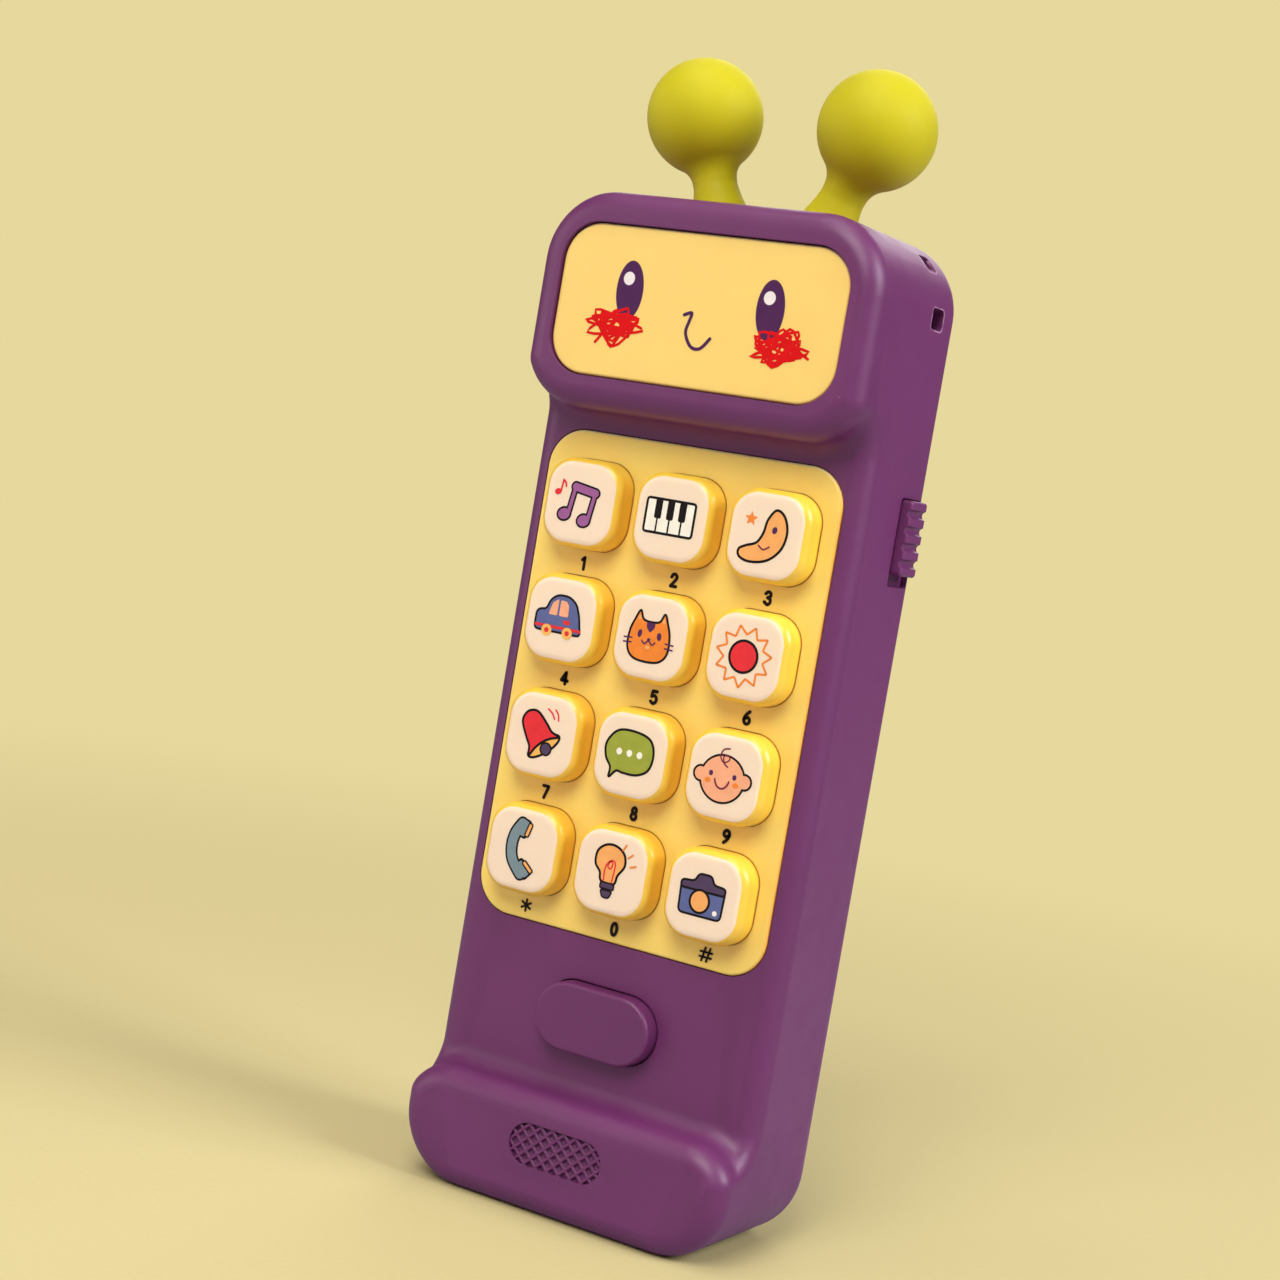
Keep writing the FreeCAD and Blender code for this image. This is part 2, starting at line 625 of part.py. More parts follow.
def rear_cover():
    solids, bores = [rear_cover_shell()], grille_bores()
    for index, (x, z) in enumerate(case_screw_places()):
        solids.append(rod("post_%d" % index, x, S.post_front, z, S.post_diameter,
                          INSIDE_Y - S.post_front + BITE))
        bores.append(rod("post_bore_%d" % index, x, S.post_front - THROUGH, z, S.screw_bore,
                         S.body_depth))
        bores.append(rod("post_counterbore_%d" % index, x, S.post_front + S.post_floor, z,
                         S.counterbore, S.body_depth))
    for extra_solids, extra_bores in (battery_bay(), speaker_seat()):
        solids += extra_solids
        bores += extra_bores
    reach = S.knob_length / 2 + S.foot_end + THROUGH
    start = S.rim_reach + THROUGH
    bores.append(block("rim_relief", S.body_width / 2 - S.side_wall * 4, -SEAM - start,
                       S.switch_z - reach - S.switch_travel, S.side_wall * 4, start,
                       reach * 2 + S.switch_travel))
    solid = cut("rear_solid", fuse("rear_parts", solids), bores)
    return keep("rear_cover", cut("rear_cover", solid, [door_recess()]))


def door_recess():
    """Seat of the battery door, sunk from the rear face."""
    body = new_body("door_recess")
    seat = front_sketch(body, "recess_outline", 0, S.door_bottom + S.door_height / 2,
                        REAR - THROUGH)
    rounded_rectangle(seat, S.door_width + S.door_gap * 2, S.door_height + S.door_gap * 2,
                      S.door_corner + S.door_gap)
    pad(body, "recess_block", seat, S.door_thick + TOUCH + THROUGH)
    return body


def battery_door():
    body = new_body("battery_door")
    outline = front_sketch(body, "door_outline", 0, S.door_bottom + S.door_height / 2, REAR)
    rounded_rectangle(outline, S.door_width, S.door_height, S.door_corner)
    panel = pad(body, "door_panel", outline, S.door_thick)
    round_edges(body, "door_round", panel, S.door_edge, lambda box: lies_at(box, REAR))
    inner = REAR + S.door_thick
    middle = S.bay_bottom + S.bay_length / 2
    rib = front_sketch(body, "door_rib_outline", 0, middle, inner)
    width, tall = S.bay_width - S.rib_gap * 2, S.bay_length - S.rib_gap * 2
    rounded_rectangle(rib, width, tall, S.rib_corner)
    pad(body, "door_rib_block", rib, S.rib_height)
    hollow = front_sketch(body, "door_rib_inner", 0, middle, inner + S.rib_height)
    rounded_rectangle(hollow, width - S.rib_wall * 2, tall - S.rib_wall * 2,
                      S.rib_corner - S.rib_wall / 2)
    pocket(body, "door_rib_pocket", hollow, S.rib_height)
    hole = front_sketch(body, "door_screw_outline", 0, S.door_screw_z, REAR)
    round_hole(hole, S.small_shank + S.door_gap * 2)
    pocket(body, "door_screw_hole", hole, S.door_thick + THROUGH, True)
    grip = front_sketch(body, "door_grip_outline", 0, S.grip_z, REAR)
    stadium(grip, S.grip_length, S.grip_height)
    pocket(body, "door_grip", grip, S.grip_depth, True)
    return keep("battery_door", body)


# ---------------------------------------------------------------- front inserts
def face_panel():
    body = new_body("face_panel")
    front = HEAD_FRONT - S.face_sink
    outline = front_sketch(body, "panel_outline", 0, S.face_z, front)
    rounded_rectangle(outline, S.face_width, S.face_height, S.face_corner)
    panel = pad(body, "panel_block", outline, S.face_thick - TOUCH, True)
    round_edges(body, "panel_round", panel, S.plate_edge, lambda box: lies_at(box, front))
    return keep("face_panel", body)


def key_places():
    for label, column, row in KEYS:
        yield label, S.key_pitch_x * column, S.plate_z + S.key_pitch_z * row


def keypad_plate():
    body = new_body("keypad_plate")
    outline = front_sketch(body, "keypad_outline", 0, S.plate_z, PLATE_FRONT)
    rounded_rectangle(outline, S.plate_width, S.plate_height, S.plate_corner)
    plate = pad(body, "keypad_block", outline, S.plate_thick, True)
    round_edges(body, "keypad_round", plate, S.plate_edge,
                lambda box: lies_at(box, PLATE_FRONT))
    for label, x, z in key_places():
        hole = front_sketch(body, label + "_hole", x, z, PLATE_FRONT)
        rounded_rectangle(hole, S.key_width + S.key_gap * 2, S.key_height + S.key_gap * 2,
                          S.key_corner + S.key_gap)
        pocket(body, label + "_opening", hole, S.plate_thick + THROUGH)
    return keep("keypad_plate", body)


def keys():
    flange_front = PLATE_BACK - TOUCH * 2
    flange_back = flange_front - S.flange_thick
    for label, x, z in key_places():
        body = new_body(label)
        outline = front_sketch(body, label + "_cap", 0, 0, flange_front)
        rounded_rectangle(outline, S.key_width, S.key_height, S.key_corner)
        cap_front = PLATE_FRONT + S.key_proud
        cap = pad(body, label + "_body", outline, cap_front - flange_front)
        round_edges(body, label + "_round", cap, S.key_edge,
                    lambda box: lies_at(box, cap_front))
        rim = front_sketch(body, label + "_rim", 0, 0, flange_front)
        over = S.flange_over * 2
        rounded_rectangle(rim, S.key_width + over, S.key_height + over,
                          S.key_corner + S.flange_over)
        pad(body, label + "_flange", rim, S.flange_thick, True)
        stem = front_sketch(body, label + "_stem", 0, 0, flange_back)
        round_hole(stem, S.plunger_diameter)
        pad(body, label + "_plunger", stem, flange_back - DOME_TOP - TOUCH, True)
        place(body, x, 0, z)
        keep(label, body)


def call_button():
    body = new_body("call_button")
    front = FRONT + S.call_proud
    flange_front = INSIDE_FRONT - TOUCH * 2
    flange_back = flange_front - S.flange_thick
    outline = front_sketch(body, "call_cap", 0, 0, flange_front)
    stadium(outline, S.call_length, S.call_height)
    cap = pad(body, "call_block", outline, front - flange_front)
    round_edges(body, "call_round", cap, S.call_edge, lambda box: lies_at(box, front))
    rim = front_sketch(body, "call_rim", 0, 0, flange_front)
    stadium(rim, S.call_length + S.flange_over * 4, S.call_height + S.flange_over * 4)
    pad(body, "call_flange", rim, S.flange_thick, True)
    stem = front_sketch(body, "call_stem", 0, 0, flange_back)
    round_hole(stem, S.plunger_diameter)
    pad(body, "call_plunger", stem, flange_back - DOME_TOP - TOUCH, True)
    place(body, 0, 0, S.call_z)
    keep("call_button", body)


def dome(name, x, z):
    item = doc.addObject("Part::Cone", name)
    item.Placement.Rotation = REARWARD
    bind(item, "Radius1", S.plunger_diameter / 2)
    bind(item, "Radius2", S.dome_diameter / 2)
    bind(item, "Height", S.dome_rise + 0.3)
    place(item, x, -DOME_TOP, z)
    return item


def rubber_domes():
    """Rubber key mat, and a small one for the call button."""
    front = BOARD_FRONT + S.sheet_thick
    sheet_body = block("mat_sheet", -(S.sheet_width / 2), -front, S.plate_z - S.sheet_height / 2,
                       S.sheet_width, S.sheet_thick - TOUCH, S.sheet_height)
    domes = [dome(label + "_dome", x, z) for label, x, z in key_places()]
    keep("key_mat", fuse("key_mat", [sheet_body] + domes))
    pad_body = block("call_sheet", -8.0, -front, S.call_z - 5, 16.0, S.sheet_thick - TOUCH, 10.0)
    keep("call_dome", fuse("call_dome", [pad_body, dome("call_dome_cone", 0, S.call_z)]))


# ---------------------------------------------------------------- electronics
def main_board():
    body = new_body("board_blank")
    tall = S.board_top - S.board_bottom
    outline = front_sketch(body, "board_outline", 0, S.board_bottom + tall / 2, BOARD_FRONT)
    rounded_rectangle(outline, S.board_width, tall, S.board_corner)
    pad(body, "board_panel", outline, S.board_thick, True)
    tab_tall = S.tab_top - S.board_top + S.board_corner * 2
    tab = front_sketch(body, "tab_outline", 0, S.tab_top - tab_tall / 2, BOARD_FRONT)
    rounded_rectangle(tab, S.tab_width, tab_tall, S.board_corner)
    pad(body, "board_tab", tab, S.board_thick, True)
    bores = [rod("board_hole_%d" % index, x, -BOARD_FRONT - THROUGH, z,
                 S.small_shank + TOUCH * 4, S.board_thick + THROUGH * 2)
             for index, (x, z) in enumerate(board_screw_places())]
    keep("main_board", cut("main_board", body, bores))


def face_lamp(name, x):
    """Clear lamp: round body with a collar, on two legs that stand on the board."""
    legs_front, leg, collar_thick = 8.9, 0.5, 0.9
    shade = rod(name + "_body", x, -S.lamp_front, S.lamp_z, S.lamp_diameter,
                S.lamp_front - legs_front - collar_thick / 2)
    collar = rod(name + "_collar", x, -legs_front - collar_thick * 0.8, S.lamp_z,
                 S.lamp_diameter + 0.8, collar_thick)
    solids = [shade, collar]
    for side in SIDES:
        solids.append(block("%s_leg_%d" % (name, side + 1),
                            x + (S.lamp_diameter / 2 - leg / 2 - 0.1) * side - leg / 2, -legs_front,
                            S.lamp_z - leg / 2, leg, legs_front - BOARD_FRONT - TOUCH, leg))
    return fuse(name, solids)


def board_parts():
    back = -BOARD_BACK + TOUCH
    keep("controller_chip", rod("chip_blob", 0, back, S.chip_z, S.chip_diameter, S.chip_rise))
    cans = [rod("capacitor_%d" % index, x, back, S.can_z, S.can_diameter, S.can_height)
            for index, x in enumerate((-12.0, -5.5))]
    keep("capacitors", group("capacitors", cans))
    lamps = [face_lamp("lamp_%d" % (side + 1), S.lamp_x * side) for side in SIDES]
    keep("face_lamps", group("face_lamps", lamps))


def funnel(name, y, z, start_radius, end_radius, length):
    """Cone along +Y from its narrow end."""
    item = doc.addObject("Part::Cone", name)
    item.Placement.Rotation = REARWARD
    bind(item, "Radius1", start_radius)
    bind(item, "Radius2", end_radius)
    bind(item, "Height", length)
    place(item, 0, y, z)
    return item


def loudspeaker():
    """Steel basket open at the rear, magnet behind it, paper-thin cone inside."""
    seat = INSIDE_Y - TOUCH
    start = INSIDE_Y - S.speaker_depth
    narrow, wide = S.magnet_diameter / 2, S.speaker_diameter / 2
    skin = 0.8
    basket = funnel("basket_cone", start, S.speaker_z, narrow + 2, wide - 1.5,
                    S.speaker_depth - S.basket_rim + TOUCH)
    flange = rod("basket_flange", 0, seat - S.basket_rim, S.speaker_z, S.speaker_diameter,
                 S.basket_rim)
    hollow = funnel("basket_hollow", start + skin, S.speaker_z, narrow + 1, wide - 2,
                    S.speaker_depth)
    keep("speaker_frame", cut("speaker_frame", fuse("basket", [basket, flange]), [hollow]))
    keep("speaker_magnet", rod("magnet_disc", 0, start - S.magnet_thick, S.speaker_z,
                               S.magnet_diameter, S.magnet_thick - TOUCH))
    deep = S.speaker_depth - skin * 3
    outer = funnel("cone_outer", start + skin * 2, S.speaker_z, size(4), wide - 3.6, deep)
    inner = funnel("cone_inner", start + skin * 2 + 0.7, S.speaker_z, size(3.4), wide - 4.2,
                   deep)
    keep("speaker_cone", cut("speaker_cone", outer, [inner]))
    clamps = [screw("clamp_%d" % (side + 1), S.clamp_x * side, seat - S.well_depth, S.speaker_z,
                    S.clamp_head, S.small_shank, size(2.2), size(0.6), 1)
              for side in SIDES]
    keep("speaker_screws", group("speaker_screws", clamps))


# ---------------------------------------------------------------- fasteners
def screw(name, x, y, z, head, shank, reach, head_thick, way):
    """Pan-head screw; y is the underside of the head, way the shank's Y direction."""
    if way > 0:
        top = rod(name + "_head", x, y - head_thick, z, head, head_thick)
        pin = rod(name + "_shank", x, y - head_thick / 2, z, shank, reach + head_thick / 2)
    else:
        top = rod(name + "_head", x, y, z, head, head_thick)
        pin = rod(name + "_shank", x, y - reach, z, shank, reach + head_thick / 2)
    slot = block(name + "_slot", x - head / 2, y - head_thick if way > 0 else y + head_thick * 0.55,
                 z - 0.3, head, head_thick * 0.45, 0.6)
    return cut(name, fuse(name + "_blank", [top, pin]), [slot])


def fasteners():
    seat = S.post_front + S.post_floor + TOUCH
    case = [screw("case_screw_%d" % index, x, seat, z, S.screw_head, S.screw_shank, size(8.5),
                  S.head_thick, -1)
            for index, (x, z) in enumerate(case_screw_places())]
    keep("case_screws", group("case_screws", case))
    board = [screw("board_screw_%d" % index, x, -BOARD_BACK + TOUCH, z, S.small_head,
                   S.small_shank, size(4.2), size(1.2), -1)
             for index, (x, z) in enumerate(board_screw_places())]
    keep("board_screws", group("board_screws", board))
    door = screw("door_screw", 0, BACK_Y - S.door_thick * 0.4, S.door_screw_z, size(2.2),
                 size(1.9), size(4.6), size(0.5), -1)
    keep("battery_door_screw", door)


# ---------------------------------------------------------------- side switch
def switch_knob():
    """Ridged knob that stands out of the slot, on a foot inside the wall."""
    outside = S.body_width / 2
    y0 = S.switch_y - S.knob_width / 2
    z0 = S.switch_z - S.knob_length / 2
    foot_front = outside - S.switch_wall - TOUCH * 2
    rise = S.knob_proud + S.switch_wall + TOUCH * 3
    grip = side_block("knob_grip", S.knob_width, S.knob_length, S.slot_corner, rise)
    round_edges(grip, "knob_round", grip.Tip, S.knob_edge,
                lambda box: box.XMin > rise.number - 0.01)
    place(grip, foot_front - TOUCH, S.switch_y, S.switch_z)
    foot = block("knob_foot", foot_front - S.knob_foot, y0 - S.foot_side, z0 - S.foot_end,
                 S.knob_foot, S.knob_width + S.foot_side * 2, S.knob_length + S.foot_end * 2)
    grooves = []
    for index in range(4):
        z = S.switch_z + S.ridge_pitch * (index - 1.5)
        grooves.append(rod("knob_groove_%d" % index, outside + S.knob_proud, y0 - THROUGH, z,
                           S.groove_width, S.knob_width + THROUGH * 2))
    seat = block("knob_pocket", foot_front - S.knob_foot - THROUGH, S.switch_y - LEVER_SEAT / 2,
                 S.switch_z - LEVER_SEAT / 2, THROUGH + 1.6, LEVER_SEAT, LEVER_SEAT)
    keep("switch_knob", cut("switch_knob_cut", fuse("knob_parts", [grip, foot]),
                            grooves + [seat]))


LEVER = 2.0           # side of the square switch lever
LEVER_SEAT = 2.2      # side of the hole that takes it
SWITCH_CASE = (3.6, 4.4, 11.0)
SWITCH_TRACK = (2.4, 2.6, 6.4)
SWITCH_PLATE = (1.6, 10.0, 16.0)


def slide_switch():
    """Slide switch: metal case on a small board, and the lever that the knob moves."""
    face = S.body_width / 2 - S.switch_wall - S.knob_foot - 0.7
    y, middle = S.switch_y, S.switch_z - S.switch_travel / 2
    deep, wide, tall = SWITCH_CASE
    case = block("switch_can", face - deep, y - wide / 2, middle - tall / 2, deep, wide, tall)
    deep, wide, tall = SWITCH_TRACK
    track = block("switch_track", face - deep, y - wide / 2, middle - tall / 2, deep + THROUGH,
                  wide, tall)
    keep("slide_switch_case", cut("slide_switch_case", case, [track]))
    lever = block("switch_lever_stick", face - 2.2, y - LEVER / 2, S.switch_z - LEVER / 2,
                  3.9, LEVER, LEVER)
    shoe = block("switch_lever_shoe", face - 2.3, y - 1.2, S.switch_z - 1.6, 0.8, 2.4, 3.2)
    keep("slide_switch_lever", fuse("slide_switch_lever", [lever, shoe]))
    deep, wide, tall = SWITCH_PLATE
    keep("switch_board", block("switch_plate", face - SWITCH_CASE[0] - TOUCH - deep,
                               y - wide / 2, middle - tall / 2, deep, wide, tall))


# ---------------------------------------------------------------- antennae
def antenna(label, side):
    """Soft antenna: foot under the wall, neck, flared skirt, ball.

    Built along local Z from the pivot in the middle of the top wall.
    """
    body = new_body(label)
    plane = [f for f in body.Origin.OriginFeatures if f.Role == "XZ_Plane"][0]
    sketch = body.newObject("Sketcher::SketchObject", label + "_profile")
    sketch.AttachmentSupport = [(plane, "")]
    sketch.MapMode = "FlatFace"
    neck, skirt, foot = (S.neck_diameter / 2, S.skirt_diameter / 2, S.foot_diameter / 2)
    low = -S.foot_drop - S.foot_thick
    reach, ball = S.ball_reach, S.ball_radius
    meet = math.asin(SIZES["neck_diameter"] / 2 / SIZES["ball_radius"])
    waist = reach.number - ball.number * math.cos(meet)
    points = [(0, low.number), (foot.number, low.number), (foot.number, -S.foot_drop.number),
              (neck.number, -S.foot_drop.number), (neck.number, S.skirt_lift.number),
              (skirt.number, S.skirt_lift.number), (neck.number, waist)]
    geometry = [line(a[0], a[1], b[0], b[1]) for a, b in zip(points, points[1:])]
    geometry.append(arc(0, reach.number, ball.number, -90 + math.degrees(meet), 90))
    geometry.append(line(0, reach.number + ball.number, 0, low.number))
    sketch.addGeometry(geometry)
    count = len(geometry)
    for index in range(count):
        sketch.addConstraint(Sketcher.Constraint("Coincident", index, 2, (index + 1) % count, 1))
    for index in (0, 2, 4):
        sketch.addConstraint(Sketcher.Constraint("Horizontal", index))
    for index in (1, 3):
        sketch.addConstraint(Sketcher.Constraint("Vertical", index))
    sketch.addConstraint(Sketcher.Constraint("PointOnObject", 6, 3, -2))
    sketch.addConstraint(Sketcher.Constraint("PointOnObject", 0, 1, -2))
    sketch.addConstraint(Sketcher.Constraint("PointOnObject", 7, 1, -2))
    measure(sketch, "foot_radius", foot, "DistanceX", -1, 1, 1, 1)
    measure(sketch, "neck_radius", neck, "DistanceX", -1, 1, 3, 1)
    measure(sketch, "skirt_radius", skirt, "DistanceX", -1, 1, 4, 2)
    measure(sketch, "waist_radius", neck, "DistanceX", -1, 1, 5, 2)
    measure(sketch, "foot_low", -low, "DistanceY", 1, 1, -1, 1)
    measure(sketch, "foot_high", S.foot_drop, "DistanceY", 2, 1, -1, 1)
    measure(sketch, "skirt_low", S.skirt_lift, "DistanceY", -1, 1, 4, 1)
    measure(sketch, "ball_centre", reach, "DistanceY", -1, 1, 6, 3)
    measure(sketch, "ball", ball, "Radius", 6)
    turned = body.newObject("PartDesign::Revolution", label + "_turned")
    turned.Profile = sketch
    turned.ReferenceAxis = (sketch, ["V_Axis"])
    turned.Angle = 360
    body.Placement.Rotation = antenna_turn(side)
    place(body, S.antenna_x * side, S.antenna_y, ANTENNA_PIVOT_Z)
    keep(label, body)


# ---------------------------------------------------------------- batteries
def cell_sides():
    """Column number and direction of each cell: the middle one is turned over."""
    return ((1, -1, 1), (2, 0, -1), (3, 1, 1))


def batteries():
    middle = S.bay_bottom + S.bay_length / 2
    for number, column, way in cell_sides():
        x = S.cell_pitch * column
        base = middle - S.cell_length / 2 + S.spring_side * way
        can = rod("cell_can_%d" % number, x, S.cell_y, base, S.cell_diameter, S.cell_length, UP)
        tip = base + S.cell_length - 0.2 if way > 0 else base - 0.8
        nub = rod("cell_tip_%d" % number, x, S.cell_y, tip, size(3.8), 1.0, UP)
        label = "battery_%d" % number
        keep(label, fuse(label, [can, nub]))


def coil(name, x, y, z, way):
    """Compression spring of four turns, wound from its fixed end towards the cell."""
    turns, steps, pitch, radius = 4, 8, 1.1, 2.6
    points = []
    for step in range(turns * steps + 1):
        angle = 2 * math.pi * step / steps
        points.append((x + radius * math.cos(angle), y + radius * math.sin(angle),
                       z + way * pitch * step / steps))
    return wire(name, points, 0.6)


def battery_contacts():
    middle = (S.bay_bottom + S.bay_length / 2).number
    half_cell, half_bay = SIZES["cell_length"] / 2, SIZES["bay_length"] / 2
    springs, plates = [], []
    for number, column, way in cell_sides():
        x = SIZES["cell_pitch"] * column
        y = SIZES["cell_y"]
        end = middle - way * (half_bay - 0.95)         # clear of the contact plate
        springs.append(coil("spring_coil_%d" % number, x, y, end, way))
        for sign in (-1, 1):
            z = middle + sign * (half_bay - 0.3)
            plates.append(block("contact_%d_%d" % (number, sign + 1), x - S.contact_width / 2,
                                y - S.contact_height / 2, z - S.contact_thick / 2,
                                S.contact_width, S.contact_height, S.contact_thick))
    keep("battery_springs", group("battery_springs", springs))
    keep("battery_contacts", group("battery_contacts", plates))


# ---------------------------------------------------------------- wiring
def wire(name, points, thickness=1.3):
    """Round lead that curves smoothly through its points."""
    spine = Part.BSplineCurve()
    spine.interpolate([V(*point) for point in points])
    path = Part.Wire(spine.toShape())
    start = V(*points[0])
    ring = Part.Wire(Part.Circle(start, spine.tangent(0)[0], thickness / 2).toShape())
    item = doc.addObject("Part::Feature", name)
    item.Shape = path.makePipeShell([ring], True, False)
    return item


def wiring():
    board = -BOARD_BACK.number + 0.6
    leads = []
    for index, side in enumerate(SIDES):
        leads.append(wire("battery_lead_%d" % index, [
            (side * 14.0, 1.4, 90.75), (side * 14.6, -0.4, 94.8), (side * 14.2, -2.0, 98.3),
            (side * 12.5, board, 99.8)]))
    keep("battery_wires", group("battery_wires", leads))
    leads = [wire("speaker_lead_%d" % index, [
        (x, 5.2, 117.4), (x - 0.2, 2.0, 114.6), (x - 0.4, -1.0, 112.6),
        (x - 0.5, board, 111.8)]) for index, x in enumerate((-3.0, -0.6))]
    keep("speaker_wires", group("speaker_wires", leads))
    leads = [wire("switch_lead_%d" % index, [
        (19.5, 3.6, z), (17.4, 1.8, z - 0.6), (15.4, -1.2, z - 1.4), (14.6, board, z - 2.0)])
        for index, z in enumerate((107.0, 110.0, 113.0))]
    keep("switch_wires", group("switch_wires", leads))


# ---------------------------------------------------------------- build and write
def check_and_write():
    doc.recompute()
    for item in doc.Objects:
        if "Invalid" in item.State or "Error" in item.State:
            raise RuntimeError("%s failed: %s" % (item.Name, item.State))
    os.makedirs("parts", exist_ok=True)
    for item in NODES:
        shape = item.Shape
        if shape.isNull() or not shape.isValid() or not shape.Solids:
            raise RuntimeError("%s has no valid solid" % item.Label)
        shape.exportStep("parts/%s.step" % item.Label)
        print("%-20s solids %d volume %9.1f" % (item.Label, len(shape.Solids), shape.Volume))


front_shell()
rear_cover()
battery_door()
face_panel()
keypad_plate()
keys()
call_button()
rubber_domes()
main_board()
board_parts()
loudspeaker()
fasteners()
switch_knob()
slide_switch()
antenna("antenna_left", -1)
antenna("antenna_right", 1)
batteries()
battery_contacts()
wiring()
check_and_write()
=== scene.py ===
import json
import math
import random
import bpy
import bmesh
from mathutils import Matrix, Vector


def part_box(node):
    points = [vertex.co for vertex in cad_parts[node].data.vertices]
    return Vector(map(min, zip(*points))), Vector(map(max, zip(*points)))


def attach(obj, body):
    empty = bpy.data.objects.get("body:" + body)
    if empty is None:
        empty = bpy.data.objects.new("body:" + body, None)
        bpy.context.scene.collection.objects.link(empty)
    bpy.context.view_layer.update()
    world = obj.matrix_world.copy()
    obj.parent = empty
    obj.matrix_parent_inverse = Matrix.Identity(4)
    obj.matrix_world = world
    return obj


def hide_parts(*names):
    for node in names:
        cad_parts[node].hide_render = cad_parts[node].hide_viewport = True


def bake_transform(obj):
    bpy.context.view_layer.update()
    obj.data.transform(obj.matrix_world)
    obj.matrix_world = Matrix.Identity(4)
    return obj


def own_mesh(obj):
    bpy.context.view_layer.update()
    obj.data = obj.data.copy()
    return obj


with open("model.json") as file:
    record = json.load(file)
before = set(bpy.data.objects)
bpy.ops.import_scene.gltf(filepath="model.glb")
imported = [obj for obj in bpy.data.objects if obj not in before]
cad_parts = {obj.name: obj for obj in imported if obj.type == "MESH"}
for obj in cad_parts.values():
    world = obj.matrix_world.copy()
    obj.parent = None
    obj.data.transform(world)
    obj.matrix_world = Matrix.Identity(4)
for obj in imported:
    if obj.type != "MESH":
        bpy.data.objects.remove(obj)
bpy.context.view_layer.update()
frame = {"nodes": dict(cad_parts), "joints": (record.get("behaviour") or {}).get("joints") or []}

# Lengths below are in metres; MM turns millimetres into metres.
MM = 0.001
NODES = frame["nodes"]
ROOT = "casing"


def middle(node):
    low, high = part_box(node)
    return (low + high) / 2


# ------------------------------------------------------------ places read from the frame
SHELL_LOW, SHELL_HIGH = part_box("front_shell")
BODY_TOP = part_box("rear_cover")[1].z
PANEL_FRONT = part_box("face_panel")[0].y
PLATE_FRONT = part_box("keypad_plate")[0].y
KEY_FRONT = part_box("key_5")[0].y
LIP_FRONT = SHELL_LOW.y + 0.8 * MM     # the lip stands a little behind the head
KEY_PITCH_X = middle("key_2").x - middle("key_1").x
KEY_PITCH_Z = middle("key_2").z - middle("key_5").z
KEYS = ("key_1", "key_2", "key_3", "key_4", "key_5", "key_6",
        "key_7", "key_8", "key_9", "key_star", "key_0", "key_hash")
JOINTS = {joint["name"]: joint for joint in frame["joints"]}


# ------------------------------------------------------------ colours
def srgb(red, green, blue):
    """Linear RGBA of an 8-bit sRGB colour."""
    def channel(value):
        value /= 255
        return value / 12.92 if value <= 0.04045 else ((value + 0.055) / 1.055) ** 2.4
    return (channel(red), channel(green), channel(blue), 1.0)


def shade(colour, factor):
    return tuple(min(1.0, part * factor) for part in colour[:3]) + (1.0,)


PURPLE = srgb(102, 42, 92)
PANEL_YELLOW = srgb(255, 214, 114)
PLATE_YELLOW = srgb(255, 218, 108)
KEY_YELLOW = srgb(255, 206, 66)
CREAM = srgb(255, 229, 197)
LIME = srgb(192, 181, 6)
# painted shade: darker orange on a key's sides where it meets the plate
PAINTED_ROOT_SHADE_ORANGE = srgb(196, 112, 30)
# painted highlight (pale) and painted shade (orange) for the yellow sheets' turned-over edges
PAINTED_HIGHLIGHT_PALE = srgb(255, 244, 186)
PAINTED_SHADE_ORANGE = srgb(240, 150, 44)
FLASH_PINK = srgb(214, 170, 196)
LINT = srgb(236, 226, 232)
INK_COLOURS = {
    "black": (24, 16, 16), "plum": (84, 42, 88), "face_plum": (78, 36, 82),
    "blush_red": (220, 6, 12), "pearl": (240, 232, 226), "maroon": (128, 44, 70),
    "mauve": (158, 96, 148), "red": (232, 52, 58), "white": (255, 246, 226),
    "orange": (244, 138, 52), "apricot": (250, 176, 100), "peach": (250, 176, 132),
    "slate": (96, 106, 152), "teal_grey": (126, 146, 150), "olive": (160, 168, 62),
    "shadow": (82, 66, 92), "honey": (250, 190, 96),
}


